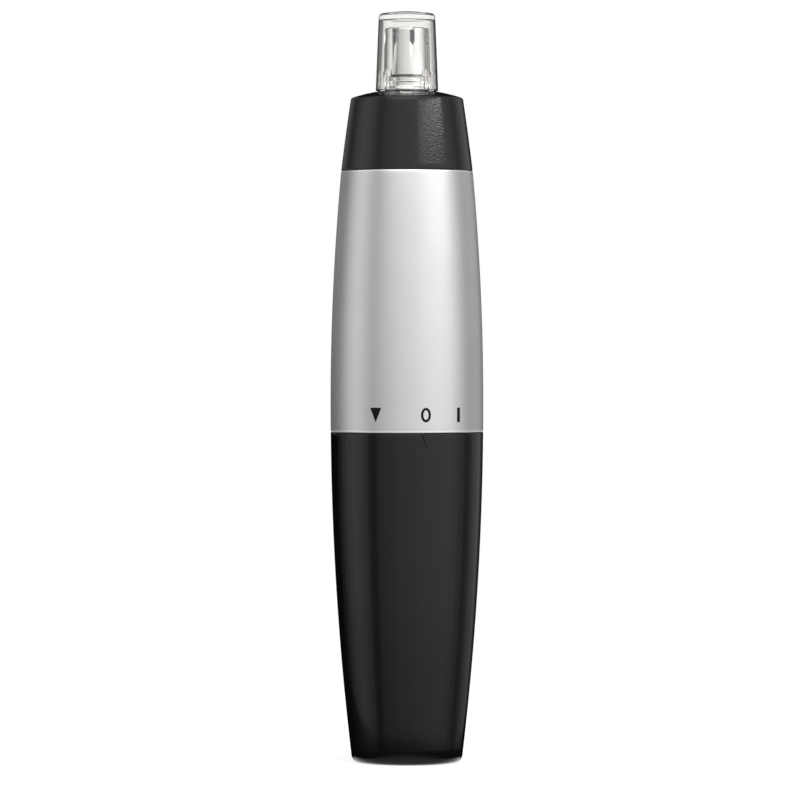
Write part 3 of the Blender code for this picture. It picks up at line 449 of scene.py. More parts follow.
def copper_winding():
    """Enamelled copper wire laid turn by turn."""
    look, tree, shader, place = new_look("winding_copper")
    rings = {"wave_type": "RINGS", "rings_direction": "SPHERICAL"}
    turns = node(tree, "TexWave", rings, Vector=place, Scale=1500.0, Distortion=0.4, Detail=1.0)
    tone = noise(tree, place, 1.5, 2.0)
    shade = mix_colour(tree, vary(tree, tone, 0.0, 1.0), (0.62, 0.24, 0.09), (0.42, 0.13, 0.05))
    feed(
        tree, shader, Base_Color=shade, Metallic=0.9, Roughness=vary(tree, tone, 0.24, 0.36),
        Coat_Weight=0.5, Coat_Roughness=0.15, Normal=bump(tree, turns.outputs["Fac"], 0.05),
    )
    return look


def cell_print():
    """The cell's printed wrap: a blue top band and a blue stripe, edged in red, down a pale silver body."""
    band_share = 0.735
    stripe, edging, print_edge = (-34, 18), (18.5, 20.5), 0.3
    look, tree, shader, place = new_look("cell_sleeve")
    parts = node(tree, "SeparateXYZ", Vector=place)
    from_front = math_node(tree, "ARCTAN2", parts.outputs["X"], product(tree, parts.outputs["Y"], -1.0))
    band_z = (CELL_BOTTOM + (CELL_SHOULDER - CELL_BOTTOM) * band_share) * MM
    in_band = math_node(tree, "GREATER_THAN", parts.outputs["Z"], band_z)
    blue_area = math_node(tree, "MAXIMUM", in_band, between(tree, from_front, *stripe, print_edge))
    red_area = between(tree, from_front, *edging, print_edge)

    mottle = vary(tree, noise(tree, place, 2.6, 1.0), 0.0, 0.3)
    silver = mix_colour(tree, mottle, (0.60, 0.585, 0.52), (0.48, 0.465, 0.41))
    blue = mix_colour(tree, mottle, (0.012, 0.035, 0.27), (0.02, 0.06, 0.36))
    edged = mix_colour(tree, red_area, silver, (0.30, 0.03, 0.04))
    smear = noise(tree, place, 0.3, 3.0)
    feed(
        tree, shader, Base_Color=mix_colour(tree, blue_area, edged, blue),
        Metallic=spread(tree, blue_area, 0.0, 1.0, 0.85, 0.40), Roughness=vary(tree, smear, 0.26, 0.36),
        Coat_Weight=0.8, Coat_Roughness=0.08, Normal=bump(tree, noise(tree, place, 0.8, 1.0), 0.0012),
    )
    return look


def clear_plastic():
    """Clear, slightly smoked styrene. Shadow rays pass straight through it, so the comb inside stays lit."""
    look, tree, shader, place = new_look("clear_plastic")
    scuff = noise(tree, stretched(tree, place, 1.0, 1.0, 0.25), 1.2, 1.0)
    flow = noise(tree, place, 0.25, 1.0)
    feed(
        tree, shader, Base_Color=(0.955, 0.945, 0.925), Roughness=vary(tree, scuff, 0.0, 0.015), IOR=1.49,
        Transmission_Weight=1.0, Normal=bump(tree, flow, 0.003),
    )
    path = node(tree, "LightPath")
    clear = node(tree, "BsdfTransparent", Color=(0.93, 0.92, 0.9, 1.0))
    unseen = math_node(tree, "MAXIMUM", path.outputs["Is Shadow Ray"], path.outputs["Is Diffuse Ray"])
    both = node(tree, "MixShader", i0=unseen, i1=shader.outputs["BSDF"], i2=clear.outputs["BSDF"])
    output = [n for n in tree.nodes if n.type == "OUTPUT_MATERIAL"][0]
    tree.links.new(both.outputs["Shader"], output.inputs["Surface"])
    return look


def ink(name, colour):
    """Pad-printed ink, with a slightly broken, uneven film."""
    look, tree, shader, place = new_look(name)
    film = noise(tree, place, 9.0, 3.0)
    worn = tuple(c * 1.8 + 0.004 for c in colour)
    shade = mix_colour(tree, vary(tree, film, 0.0, 0.5), colour, worn)
    feed(
        tree, shader, Base_Color=shade, Roughness=vary(tree, film, 0.38, 0.5), Specular_IOR_Level=0.12,
        Normal=bump(tree, film, 0.002),
    )
    return look


LOOKS = {
    "black_satin": black_plastic(
        "black_satin", tone=0.0028, gloss_ior=1.44, smooth=0.045, grain_depth=0.0002, grain_per_mm=5.0
    ),
    "black_grain": black_plastic(
        "black_grain", tone=0.012, gloss_ior=1.39, smooth=0.10, grain_depth=0.0140, grain_per_mm=4.0
    ),
    "silver_paint": silver_paint(),
    "chrome": polished_metal("chrome", (0.90, 0.905, 0.91), rough=0.07, turned_depth=0.0004),
    "clear_plastic": clear_plastic(),
    "frame_plastic": moulded("frame_plastic", (0.022, 0.022, 0.024), 0.45),
    "white_nylon": moulded("white_nylon", (0.74, 0.72, 0.65), 0.42),
    "motor_steel": brushed_steel("motor_steel", (0.60, 0.61, 0.60), 0.34),
    "blade_steel": polished_metal(
        "blade_steel", (0.74, 0.75, 0.77), rough=0.20, turned_depth=0.002, per_mm=9.0
    ),
    "contact_nickel": polished_metal("contact_nickel", (0.70, 0.66, 0.58), rough=0.22, turned_depth=0.001),
    "bearing_bronze": polished_metal("bearing_bronze", (0.58, 0.38, 0.18), rough=0.38, turned_depth=0.003),
    "winding_copper": copper_winding(),
    "magnet_ferrite": moulded("magnet_ferrite", (0.06, 0.06, 0.065), 0.6),
    "seal_rubber": moulded("seal_rubber", (0.012, 0.012, 0.012), 0.55, sheen=0.3),
    "wire_red": moulded("wire_red", (0.45, 0.02, 0.015), 0.4),
    "wire_black": moulded("wire_black", (0.012, 0.012, 0.012), 0.4),
    "cell_sleeve": cell_print(),
    "cell_body": brushed_steel("cell_body", (0.68, 0.66, 0.60), 0.26),
    "cell_steel": polished_metal("cell_steel", (0.76, 0.72, 0.62), rough=0.18, turned_depth=0.002),
    "print_black": ink("print_black", (0.003, 0.003, 0.003)),
}


# ---------------------------------------------------------------- battery cover

COVER_WALL = 1.6
FLOOR_Z = 2.2
BASE_FILLET = 1.3
# The ring on the floor that the battery spring stands on, and the shallow dimple in the middle of the base.
PEDESTAL_INNER, PEDESTAL_OUTER, PEDESTAL_TOP = 4.4, 6.4, 8.2
DIMPLE_RADIUS, DIMPLE_DEPTH = 1.3, 0.12
# The ribs that keep the cell in the middle: their inner radius below and at the top, and their heights.
RIB_THICKNESS, RIB_INNER, RIB_TOP_INNER = 1.2, 7.65, 9.15
RIB_FOOT, RIB_LEAD_IN, RIB_TOP = 1.2, 35, 38
LUG_INNER, LUG_HALF_ANGLE, LUG_LOW, LUG_HIGH = 10.9, 8, 55, 57
# The index mark, a slanting groove that lines up with the symbols on the barrel.
MARK_AZIMUTH, MARK_SLANT, MARK_HALF_WIDTH, MARK_LENGTH = -77.6, 0.55, 0.18, 2.7


def make_cover():
    """The black battery cover with its ribs, bayonet lugs, pedestal and index mark."""
    floor_corner = grip_radius(FLOOR_Z) - COVER_WALL
    top_radius = grip_radius(COVER_TOP)
    outer = [(grip_radius(z), z, 0) for z in steps(COVER_TOP - 1, BASE_FILLET + 1.5, 30)]
    inner = [(grip_radius(z) - COVER_WALL, z, 0) for z in steps(FLOOR_Z + 2, COVER_TOP - 1, 12)]
    corners = (
        [(0, FLOOR_Z, 0), (PEDESTAL_INNER, FLOOR_Z, 0.3), (PEDESTAL_INNER, PEDESTAL_TOP, 0.25),
         (PEDESTAL_OUTER, PEDESTAL_TOP, 0.25), (PEDESTAL_OUTER, FLOOR_Z, 0.3), (floor_corner, FLOOR_Z, 0.8)]
        + inner
        + [(top_radius - COVER_WALL, COVER_TOP, INNER_EDGE), (top_radius, COVER_TOP, SEAM_EDGE)]
        + outer
        + [(grip_radius(0), 0, BASE_FILLET), (DIMPLE_RADIUS, 0, 0),
           (DIMPLE_RADIUS - 0.2, DIMPLE_DEPTH, 0), (0, DIMPLE_DEPTH, 0)]
    )
    cover = lathe("cover_shell", rounded(corners), 160)
    ribs = [cover_rib(azimuth) for azimuth in (45, 135, 225, 315)]
    reach = grip_radius(LUG_LOW) - COVER_WALL / 2
    lugs = [
        flat_sector(f"lug_{a}", LUG_INNER, reach, a - LUG_HALF_ANGLE, a + LUG_HALF_ANGLE, LUG_LOW, LUG_HIGH)
        for a in (0, 180)
    ]
    combine(cover, ribs + lugs, "UNION")

    foot, head = COVER_TOP - MARK_LENGTH, COVER_TOP + 0.4
    outline = [
        (-MARK_SLANT - MARK_HALF_WIDTH, head), (-MARK_SLANT + MARK_HALF_WIDTH, head),
        (MARK_SLANT + MARK_HALF_WIDTH, foot), (MARK_SLANT - MARK_HALF_WIDTH, foot),
    ]
    mark = prism("index", outline, WAIST_RADIUS - 0.5, WAIST_RADIUS + 1, MARK_AZIMUTH)
    combine(cover, [mark], "DIFFERENCE")
    finish_piece(cover, LOOKS["black_satin"], "cover", "battery_cover", slot="black_plastic")


def cover_rib(azimuth):
    """One of the four ribs that keep the cell in the middle. It ends inside the cover's wall."""
    half, middle = RIB_THICKNESS / 2, COVER_WALL / 2
    outline = [
        (RIB_INNER, RIB_FOOT), (grip_radius(RIB_FOOT) - middle, RIB_FOOT),
        (grip_radius(RIB_TOP) - middle, RIB_TOP), (RIB_TOP_INNER, RIB_TOP), (RIB_INNER, RIB_LEAD_IN),
    ]
    points = [(r, -half, z) for r, z in outline]
    return extruded(f"rib_{azimuth}", points, (0, RIB_THICKNESS, 0), azimuth)


# ---------------------------------------------------------------- barrel and symbols

BARREL_WALL = 1.2


def make_barrel():
    """The silver barrel with rolled edges at both ends."""
    top_radius, foot_radius = grip_radius(BARREL_TOP), grip_radius(BARREL_FOOT)
    outer = [(grip_radius(z), z, 0) for z in steps(BARREL_TOP - 1, BARREL_FOOT + 1, 26)]
    inner = [(grip_radius(z) - BARREL_WALL, z, 0) for z in steps(BARREL_FOOT + 1, BARREL_TOP - 1, 10)]
    corners = (
        [(top_radius, BARREL_TOP, SEAM_EDGE + 0.02)]
        + outer
        + [(foot_radius, BARREL_FOOT, SEAM_EDGE), (foot_radius - BARREL_WALL, BARREL_FOOT, INNER_EDGE)]
        + inner
        + [(top_radius - BARREL_WALL, BARREL_TOP, INNER_EDGE)]
    )
    barrel = lathe("barrel_sleeve", rounded(corners), 160)
    finish_piece(barrel, LOOKS["silver_paint"], "barrel", "barrel_shell", slot="silver_paint")


SYMBOL_Z, SYMBOL_HEIGHT = 64.05, 2.65
OPEN_AZIMUTH, OFF_AZIMUTH, ON_AZIMUTH = -113.8, -75.8, -48.2
TRIANGLE_WIDTH, BAR_WIDTH = 2.2, 0.7
RING_HALF_WIDTH, RING_LINE = 0.94, 0.46
INK = 0.012
# The ink floats this far off the barrel, so that the two surfaces never touch.
INK_GAP = 0.004


def symbol(name, azimuth, columns, rows, place):
    """A printed symbol. place(u, v) gives (sideways, height) from its middle for u and v from 0 to 1."""
    bm = bmesh.new()
    grid = []
    for v in steps(0, 1, rows):
        line = []
        for u in steps(0, 1, columns):
            side, height = place(u, v)
            z = SYMBOL_Z + height
            radius = grip_radius(z) + INK_GAP
            angle = math.radians(azimuth) + side / radius
            x, y = radius * math.cos(angle), radius * math.sin(angle)
            line.append(bm.verts.new((x * MM, y * MM, z * MM)))
        grid.append(line)
    for low, high in zip(grid, grid[1:]):
        for i in range(columns):
            bm.faces.new((low[i], low[i + 1], high[i + 1], high[i]))
    bmesh.ops.remove_doubles(bm, verts=bm.verts, dist=1e-7)
    bmesh.ops.recalc_face_normals(bm, faces=bm.faces)
    obj = link(name, bm)
    centre = sum((f.center for f in obj.data.polygons), Vector()) / len(obj.data.polygons)
    if obj.data.polygons[0].normal.dot(Vector((centre.x, centre.y, 0))) < 0:
        obj.data.flip_normals()
    film = obj.modifiers.new("Ink", "SOLIDIFY")
    film.thickness = INK * MM
    film.offset = 1.0
    settle(obj)
    finish_piece(obj, LOOKS["print_black"], "barrel")


def make_symbols():
    """The switch symbols on the barrel: a triangle to open, a ring for off and a bar for on."""
    half = SYMBOL_HEIGHT / 2

    def triangle(u, v):
        return (u - 0.5) * TRIANGLE_WIDTH * v, (v - 0.5) * SYMBOL_HEIGHT

    def ring(u, v):
        turn = math.tau * u
        across = RING_HALF_WIDTH - RING_LINE + RING_LINE * v
        up = half - RING_LINE + RING_LINE * v
        return across * math.cos(turn), up * math.sin(turn)

    def bar(u, v):
        return (u - 0.5) * BAR_WIDTH, (v - 0.5) * SYMBOL_HEIGHT

    symbol("symbol_open", OPEN_AZIMUTH, 8, 8, triangle)
    symbol("symbol_off", OFF_AZIMUTH, 48, 2, ring)
    symbol("symbol_on", ON_AZIMUTH, 3, 4, bar)


# ---------------------------------------------------------------- head

SHOULDER_Z, SHOULDER_RADIUS, SHOULDER_FILLET = 121.9, 10.35, 0.55
# How far the cone bulges at half its height, and the sphere that its dome is part of.
CONE_CROWN = 0.05
DOME_APEX_Z, DOME_RADIUS, DOME_WALL = 123.8, 33.0, 1.4
STEM_HOLE = 3.2
# The round socket that fits over the barrel's top, and the key in it.
SOCKET_RADIUS, SOCKET_TOP = 9.75, 115.0
KEY_SIZE, KEY_PLACE = (1.5, 2.0, 1.5), (9.3, 0, 113.4)


def cone_radius(z):
    """Outer radius of the head's side."""
    up = (z - HEAD_BOTTOM) / (SHOULDER_Z - HEAD_BOTTOM)
    foot = grip_radius(HEAD_BOTTOM)
    return foot + (SHOULDER_RADIUS - foot) * up + CONE_CROWN * 4 * up * (1 - up)


def dome_height(radius):
    """Height of the head's shallow dome at this radius."""
    return DOME_APEX_Z - DOME_RADIUS + math.sqrt(DOME_RADIUS**2 - radius**2)


def make_head():
    """The black head: a slightly bulging cone with a tight shoulder, a shallow dome and a bored inside."""
    dome = [(r, dome_height(r), 0) for r in steps(3.9, SHOULDER_RADIUS - 1.2, 12)]
    side = [(cone_radius(z), z, 0) for z in steps(SHOULDER_Z - 1, HEAD_FOOT + 1, 10)]
    under = [(r, dome_height(r) - DOME_WALL, 0) for r in steps(SHOULDER_RADIUS - 2.2, 3.4, 6)]
    shoulder = dome_height(SHOULDER_RADIUS)
    corners = (
        [(STEM_HOLE, dome_height(STEM_HOLE), 0.15)]
        + dome
        + [(cone_radius(shoulder), shoulder, SHOULDER_FILLET)]
        + side
        + [(cone_radius(HEAD_FOOT), HEAD_FOOT, SEAM_EDGE), (SOCKET_RADIUS, HEAD_FOOT, 0.3),
           (SOCKET_RADIUS, SOCKET_TOP, 0.2), (SOCKET_RADIUS - 0.35, SOCKET_TOP + 1, 0.2),
           (SHOULDER_RADIUS - 1.4, SHOULDER_Z - 1.4, 0.4)]
        + under
        + [(STEM_HOLE, dome_height(STEM_HOLE) - DOME_WALL, 0)]
    )
    head = lathe("head_cone", rounded(corners), 160)
    combine(head, [block("key", KEY_SIZE, KEY_PLACE, -90, 0.15)], "UNION")
    finish_piece(head, LOOKS["black_grain"], "head", "head_housing", slot="black_plastic")


def make_neck():
    """The chrome neck under the comb, a hollow turned part."""
    spigot = [(3.4, 127.6, 0.2), (3.4, 125.35, 0)]
    flange_and_waist = [(4.12, 125.35, 0.12), (3.94, 124.95, 0.15), (3.94, 124.35, 0.3)]
    flared_foot = [(4.22, 123.88, 0.1), (4.22, 123.7, 0.06), (3.0, 123.7, 0)]
    threaded_tail = [(3.0, 119.0, 0.15), (2.4, 119.0, 0.1)]
    bore = [(2.4, 122.6, 0), (1.5, 122.6, 0), (1.5, 127.6, 0.1)]
    corners = spigot + flange_and_waist + flared_foot + threaded_tail + bore
    neck = lathe("neck", rounded(corners, 4), 96)
    finish_piece(neck, LOOKS["chrome"], "head", "neck_collar", slot="chrome")


COMB_RADIUS, COMB_TOP_RADIUS, COMB_WALL = 4.3, 4.07, 0.45
# The bore that goes over the neck's spigot, and its height.
COMB_BORE, COMB_BORE_TOP = 3.5, 127.9
COMB_SLOTS, COMB_FIRST_SLOT = 8, -77.0
SLOT_HALF_WIDTH, SLOT_TIP, SLOT_POINT = 0.45, 131.5, 0.9


def make_comb():
    """The chrome comb: a tapered thimble slotted over its rim, each slot ending in a point."""
    inner = COMB_TOP_RADIUS - COMB_WALL
    corners = [
        (0, COMB_TOP, 0), (COMB_TOP_RADIUS, COMB_TOP, 0.32), (COMB_RADIUS, COMB_BOTTOM + 0.5, 0.1),
        (COMB_RADIUS - 0.3, COMB_BOTTOM, 0.08), (COMB_BORE, COMB_BOTTOM, 0.06),
        (COMB_BORE, COMB_BORE_TOP, 0), (inner + 0.05, COMB_BORE_TOP + 0.5, 0),
        (inner, COMB_TOP - 0.5, 0.15), (0, COMB_TOP - 0.5, 0),
    ]
    comb = lathe("comb_chrome", rounded(corners, 6), 128)
    half, shoulder, high = SLOT_HALF_WIDTH, SLOT_TIP + SLOT_POINT, COMB_TOP + 1
    outline = [(half, high), (-half, high), (-half, shoulder), (0, SLOT_TIP), (half, shoulder)]
    azimuths = [COMB_FIRST_SLOT + i * 360 / COMB_SLOTS for i in range(COMB_SLOTS)]
    slots = [prism(f"slot_{i}", outline, 1.9, 6.0, azimuth) for i, azimuth in enumerate(azimuths)]
    combine(comb, slots, "DIFFERENCE")
    soften(comb, 0.05, 40)
    finish_piece(comb, LOOKS["chrome"], "head", "comb", slot="chrome")


# ---------------------------------------------------------------- cap

def make_cap():
    """The clear cap: a tapering cup with a thick crown and eight grip ribs inside its mouth."""
    mouth, crown, wall = 5.75, 5.15, 0.7
    corners = [
        (0, CAP_TOP, 0), (2.6, CAP_TOP - 0.05, 0), (crown + 0.03, CAP_TOP - 0.35, 0.75),
        (mouth, CAP_BOTTOM, 0.16), (mouth - wall, CAP_BOTTOM, 0.16), (crown - wall, CAP_TOP - 1.5, 0.45),
        (0, CAP_TOP - 1.4, 0),
    ]
    cap = lathe("clear_cap", rounded(corners, 8), 128)
    size = (0.8, 0.5, 3.6)
    centre = (4.95, 0, CAP_BOTTOM + 0.2 + size[2] / 2)
    azimuths = [side + turn for side in (0, 180) for turn in (-43, -20, 20, 43)]
    ribs = [block(f"grip_{azimuth}", size, centre, azimuth, 0.08) for azimuth in azimuths]
    combine(cap, ribs, "UNION")
    finish_piece(cap, LOOKS["clear_plastic"], "cap", "protective_cap", slot="clear_plastic")


# ---------------------------------------------------------------- AA cell

def make_cell():
    """The cell's printed wrap with shrunk-over ends, and its positive button."""
    wall, lap = 0.2, 0.4
    top_lap_radius, bottom_lap_radius = 5.6, 6.0
    inside = CELL_RADIUS - wall
    corners = [
        (top_lap_radius, CELL_SHOULDER, 0.05), (CELL_RADIUS, CELL_SHOULDER, 0.55),
        (CELL_RADIUS, CELL_BOTTOM, 0.5), (bottom_lap_radius, CELL_BOTTOM, 0.05),
        (bottom_lap_radius, CELL_BOTTOM + 0.3, 0), (inside, CELL_BOTTOM + lap, 0.1),
        (inside, CELL_SHOULDER - lap, 0.1), (top_lap_radius, CELL_SHOULDER - lap, 0),
    ]
    wrap = lathe("cell_wrap", rounded(corners), 128)
    finish_piece(wrap, LOOKS["cell_sleeve"], "cell", "cell_sleeve", slot="cell_sleeve")

    base, rim = bottom("cell_button"), BUTTON_TOP - 0.06
    corners = [
        (0, BUTTON_TOP, 0), (1.5, BUTTON_TOP, 0), (1.7, rim, 0), (2.75, rim, 0.35), (2.75, base, 0),
        (0, base, 0),
    ]
    button = lathe("cell_nub", rounded(corners), 64)
    finish_piece(button, LOOKS["cell_steel"], "cell", "cell_button", slot="cell_steel")


# ---------------------------------------------------------------- inner pieces that keep their CAD shape

def smooth_group():
    """Geometry nodes that shade faces smooth and keep sharp edges crisp, without splitting the mesh."""
    tree = bpy.data.node_groups.new("smooth_round_faces", "GeometryNodeTree")
    for direction in ("INPUT", "OUTPUT"):
        tree.interface.new_socket("Geometry", in_out=direction, socket_type="NodeSocketGeometry")
    start = tree.nodes.new("NodeGroupInput")
    end = tree.nodes.new("NodeGroupOutput")
    merge = tree.nodes.new("GeometryNodeMergeByDistance")
    merge.inputs["Distance"].default_value = 0.001 * MM
    angle = tree.nodes.new("GeometryNodeInputMeshEdgeAngle")
    round_edge = tree.nodes.new("FunctionNodeCompare")
    round_edge.operation = "LESS_THAN"
    round_edge.inputs["B"].default_value = math.radians(CAD_CREASE)
    faces = tree.nodes.new("GeometryNodeSetShadeSmooth")
    edges = tree.nodes.new("GeometryNodeSetShadeSmooth")
    edges.domain = "EDGE"
    tree.links.new(start.outputs[0], merge.inputs["Geometry"])
    tree.links.new(merge.outputs["Geometry"], faces.inputs["Geometry"])
    tree.links.new(faces.outputs["Geometry"], edges.inputs["Geometry"])
    tree.links.new(angle.outputs["Unsigned Angle"], round_edge.inputs["A"])
    tree.links.new(round_edge.outputs["Result"], edges.inputs["Shade Smooth"])
    tree.links.new(edges.outputs["Geometry"], end.inputs[0])
    return tree


def dress_frame_nodes():
    """Gives every CAD node that stays in sight the material of its slot, and smooth round faces."""
    group = smooth_group()
    slots = {row["node"]: row["material_slot"] for row in frame["record"]["subparts"]}
    for name, obj in frame["nodes"].items():
        if obj.hide_render:
            continue
        obj.data.materials.clear()
        obj.data.materials.append(LOOKS[slots[name]])
        obj.modifiers.new("Smooth", "NODES").node_group = group


# ---------------------------------------------------------------- stage

EYE_Z = 78.8
CAMERA_DISTANCE = 855.0
FIELD_WIDTH = 147.4
FIELD_CENTRE_X, FIELD_CENTRE_Z = -1.28, 66.6
SENSOR = 36.0


def make_camera():
    """A long-lens camera straight in front of the trimmer, just above its middle."""
    camera = bpy.data.cameras.new("camera")
    camera.sensor_width = SENSOR
    camera.lens = SENSOR * CAMERA_DISTANCE / FIELD_WIDTH
    camera.clip_start = 0.01
    camera.clip_end = 50.0
    obj = bpy.data.objects.new("camera", camera)
    obj.location = (0, -CAMERA_DISTANCE * MM, EYE_Z * MM)
    aim = Vector((FIELD_CENTRE_X, 0, FIELD_CENTRE_Z)) * MM - obj.location
    obj.rotation_euler = aim.to_track_quat("-Z", "Y").to_euler()
    bpy.context.scene.collection.objects.link(obj)
    bpy.context.scene.camera = obj


# The studio's directions are in degrees: round from the camera's side towards +X, and up from the horizon.
# Brightness of the panels all round, at eye level: (direction, brightness).
STUDIO = (
    (-180, 0.0), (-134, 0.0), (-122, 0.10), (-112, 0.32), (-100, 0.67), (-88, 0.93), (-78, 0.89),
    (-66, 0.66), (-57, 0.25), (-50, 0.22), (-43, 0.48), (-30, 0.62), (0, 0.82), (30, 0.98), (64, 1.05),
    (78, 0.88), (92, 0.52), (103, 0.22), (112, 0.30), (122, 0.46), (142, 0.42), (152, 0.10), (165, 0.0),
    (180, 0.0),
)
# The share of it at each height in front of the trimmer: (height, share).
STUDIO_HEIGHT = (
    (-90, 0.0), (-21, 0.0), (-18, 0.58), (-14, 0.66), (-10, 0.84), (0, 1.0), (12, 1.1), (40, 1.0), (90, 0.8),
)
# The table's edge cuts the panels off at this height, leaving a share of their light below it.
TABLE_EDGE, TABLE_EDGE_SOFT, BELOW_TABLE = -17.75, 0.15, 0.22
# Towards the sides the panels move closer to eye level: by a share of their height square to the camera's
# line, growing with this power of the direction, and never to less than SIDE_LEAST of it.
SIDE_DROP_LEFT, SIDE_DROP_RIGHT, SIDE_POWER, SIDE_LEAST = 0.24, 0.19, 2.1, 0.3
# Soft boxes: (left, right, low, high). The key is high on the right and brighter at its right end, the fill
# is above the camera, and the weak rim is behind the trimmer on the left.
KEY_BOX, KEY_DIM, KEY_BRIGHT = (22, 75, 17.2, 20.6), 2.6, 10.5
FILL_BOX, FILL_LIGHT = (-42, 26, 26, 38), 2.9
RIM_BOX, RIM_LIGHT = (-164, -132, 1, 30), 0.22
BOX_EDGE = 1.5
# Light thrown up by the floor: the height that it starts at and the one that it is full at, in front of the
# trimmer. From BOUNCE_SIDE round to BOUNCE_BACK it comes to start higher, and to be stronger by BOUNCE_GAIN.
BOUNCE_START, BOUNCE_FULL, BOUNCE_LIGHT = -21, -27, 0.50
BOUNCE_SIDE, BOUNCE_BACK, BOUNCE_RISE, BOUNCE_GAIN = 104, 146, 10, 0.9
WHITE = (1.0, 1.0, 1.0, 1.0)


def soft_box(tree, azimuth, elevation, box, side_edge):
    """1 on a soft box, 0 off it."""
    left, right, low, high = box
    across = between(tree, azimuth, left, right, side_edge)
    return product(tree, across, between(tree, elevation, low, high, BOX_EDGE))


def panel_height(tree, azimuth, elevation):
    """The height that the panels have where the studio is seen, before they move closer to eye level."""
    quarters = product(tree, math_node(tree, "ABSOLUTE", azimuth), 2 / math.pi)
    on_left = math_node(tree, "LESS_THAN", azimuth, 0.0)
    drop_share = spread(tree, on_left, 0.0, 1.0, SIDE_DROP_RIGHT, SIDE_DROP_LEFT)
    drop = product(tree, math_node(tree, "POWER", quarters, SIDE_POWER), drop_share)
    reach = math_node(tree, "MAXIMUM", math_node(tree, "SUBTRACT", 1.0, drop), SIDE_LEAST)
    return math_node(tree, "DIVIDE", elevation, reach)


def panel_light(tree, azimuth, elevation):
    """Broad panels with dark gaps between them, all round the trimmer and above the table."""
    height = panel_height(tree, azimuth, elevation)
    around = spread(tree, azimuth, -math.pi, math.pi)
    upright = spread(tree, height, -math.pi / 2, math.pi / 2)
    panels = ramp(tree, around, [((a + 180) / 360, v) for a, v in STUDIO], "EASE")
    fade = ramp(tree, upright, [((a + 90) / 180, v) for a, v in STUDIO_HEIGHT])
    low, high = math.radians(TABLE_EDGE - TABLE_EDGE_SOFT), math.radians(TABLE_EDGE + TABLE_EDGE_SOFT)
    above_table = spread(tree, height, low, high, BELOW_TABLE, 1.0)
    light = mix_colour(tree, 1.0, panels, fade, "MULTIPLY")
    return node(tree, "Background", Color=light, Strength=above_table).outputs["Background"]


def floor_bounce(tree, azimuth, elevation):
    """The share of the light thrown up by the floor."""
    turned = math_node(tree, "ABSOLUTE", azimuth)
    behind = spread(tree, turned, math.radians(BOUNCE_SIDE), math.radians(BOUNCE_BACK))
    rise = product(tree, behind, math.radians(BOUNCE_RISE))
    lowered = math_node(tree, "SUBTRACT", elevation, rise)
    below = spread(tree, lowered, math.radians(BOUNCE_FULL), math.radians(BOUNCE_START), 1.0, 0.0)
    gain = math_node(tree, "ADD", 1.0, product(tree, behind, BOUNCE_GAIN))
    return product(tree, below, gain)


def box_light(tree, azimuth, elevation):
    """The key, fill and rim soft boxes, and the light thrown up by the floor."""
    left, right = KEY_BOX[:2]
    key = soft_box(tree, azimuth, elevation, KEY_BOX, BOX_EDGE)
    grade = spread(tree, azimuth, math.radians(left), math.radians(right), KEY_DIM, KEY_BRIGHT)
    fill = soft_box(tree, azimuth, elevation, FILL_BOX, 2 * BOX_EDGE)
    rim = soft_box(tree, azimuth, elevation, RIM_BOX, 4 * BOX_EDGE)
    bounce = floor_bounce(tree, azimuth, elevation)
    light = product(tree, key, grade)
    for share, brightness in ((fill, FILL_LIGHT), (rim, RIM_LIGHT), (bounce, BOUNCE_LIGHT)):
        light = math_node(tree, "ADD", light, product(tree, share, brightness))
    return node(tree, "Background", Color=WHITE, Strength=light).outputs["Background"]


def make_world():
    """Soft studio surroundings, and a white backdrop where the camera sees past the trimmer."""
    world = bpy.data.worlds.new("studio")
    bpy.context.scene.world = world
    world.use_nodes = True
    tree = world.node_tree
    tree.nodes.clear()
    parts = node(tree, "SeparateXYZ", Vector=node(tree, "TexCoord").outputs["Generated"])
    front = product(tree, parts.outputs["Y"], -1.0)
    azimuth = math_node(tree, "ARCTAN2", parts.outputs["X"], front)
    elevation = math_node(tree, "ARCSINE", parts.outputs["Z"])
    panels, boxes = panel_light(tree, azimuth, elevation), box_light(tree, azimuth, elevation)
    studio = node(tree, "AddShader", i0=panels, i1=boxes).outputs["Shader"]
    backdrop = node(tree, "Background", Color=WHITE, Strength=1.0).outputs["Background"]
    path = node(tree, "LightPath")
    unreflected = math_node(tree, "LESS_THAN", path.outputs["Glossy Depth"], 0.5)
    through = product(tree, path.outputs["Is Transmission Ray"], unreflected)
    seen = math_node(tree, "MAXIMUM", path.outputs["Is Camera Ray"], through)
    both = node(tree, "MixShader", i0=seen, i1=studio, i2=backdrop)
    output = node(tree, "OutputWorld")
    tree.links.new(both.outputs["Shader"], output.inputs["Surface"])


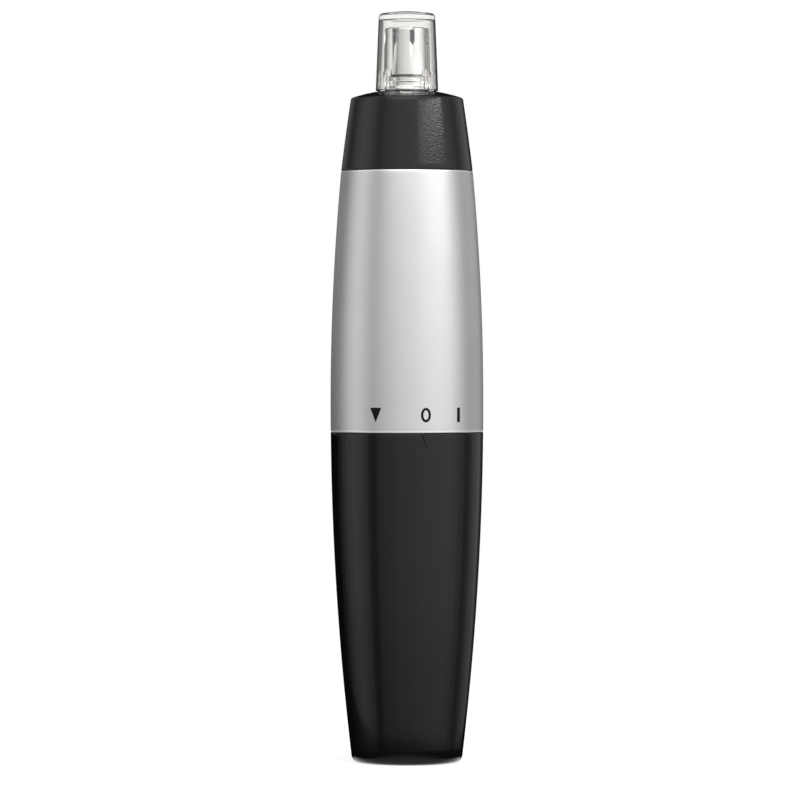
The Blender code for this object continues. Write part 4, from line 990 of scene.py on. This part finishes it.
def make_overhead_light():
    """A weak soft box high over the trimmer. The rest of the light comes from the studio round it."""
    azimuth, elevation, distance = math.radians(-20), math.radians(80), 1000
    light = bpy.data.lights.new("overhead", "AREA")
    light.shape = "RECTANGLE"
    light.size = light.size_y = 800 * MM
    light.energy = 2.0
    obj = bpy.data.objects.new("overhead", light)
    flat = math.cos(elevation)
    away = Vector((math.sin(azimuth) * flat, -math.cos(azimuth) * flat, math.sin(elevation)))
    obj.location = (away * distance + Vector((0, 0, WAIST_Z))) * MM
    obj.rotation_euler = away.to_track_quat("Z", "Y").to_euler()
    bpy.context.scene.collection.objects.link(obj)


# The floor: its size, how far it lies below the base, and where it starts to fade and is white.
FLOOR_RADIUS, FLOOR_DROP, FADE_START, FADE_END = 3000, 0.1, 20, 250
PAPER_TONE, PAPER_GLOW = 0.55, 0.74


def make_floor():
    """A pale paper floor that turns into the white backdrop away from the trimmer."""
    bm = bmesh.new()
    bmesh.ops.create_circle(bm, cap_ends=True, segments=96, radius=FLOOR_RADIUS * MM)
    floor = link("floor", bm)
    look = bpy.data.materials.new("floor")
    look.use_nodes = True
    tree = look.node_tree
    tree.nodes.clear()
    parts = node(tree, "SeparateXYZ", Vector=node(tree, "TexCoord").outputs["Object"])
    flat = node(tree, "CombineXYZ", X=parts.outputs["X"], Y=parts.outputs["Y"], Z=0.0)
    length = node(tree, "VectorMath", {"operation": "LENGTH"}, i0=flat.outputs["Vector"])
    fade = node(
        tree, "MapRange", {"interpolation_type": "SMOOTHSTEP"}, i0=length.outputs["Value"],
        i1=FADE_START * MM, i2=FADE_END * MM, i3=0.0, i4=1.0,
    )
    paper = node(tree, "BsdfDiffuse", Color=(PAPER_TONE, PAPER_TONE, PAPER_TONE, 1.0))
    glow = node(tree, "Emission", Color=WHITE, Strength=PAPER_GLOW)
    near = node(tree, "AddShader", i0=paper.outputs["BSDF"], i1=glow.outputs["Emission"]).outputs["Shader"]
    far = node(tree, "Emission", Color=WHITE, Strength=1.0).outputs["Emission"]
    both = node(tree, "MixShader", i0=fade.outputs["Result"], i1=near, i2=far)
    output = node(tree, "OutputMaterial")
    tree.links.new(both.outputs["Shader"], output.inputs["Surface"])
    floor.data.materials.append(look)
    floor.visible_glossy = False
    floor.location.z = -FLOOR_DROP * MM


make_cover()
make_barrel()
make_symbols()
make_head()
make_neck()
make_comb()
make_cap()
make_cell()
dress_frame_nodes()
make_camera()
make_world()
make_overhead_light()
make_floor()
bpy.context.scene.view_settings.view_transform = "Standard"
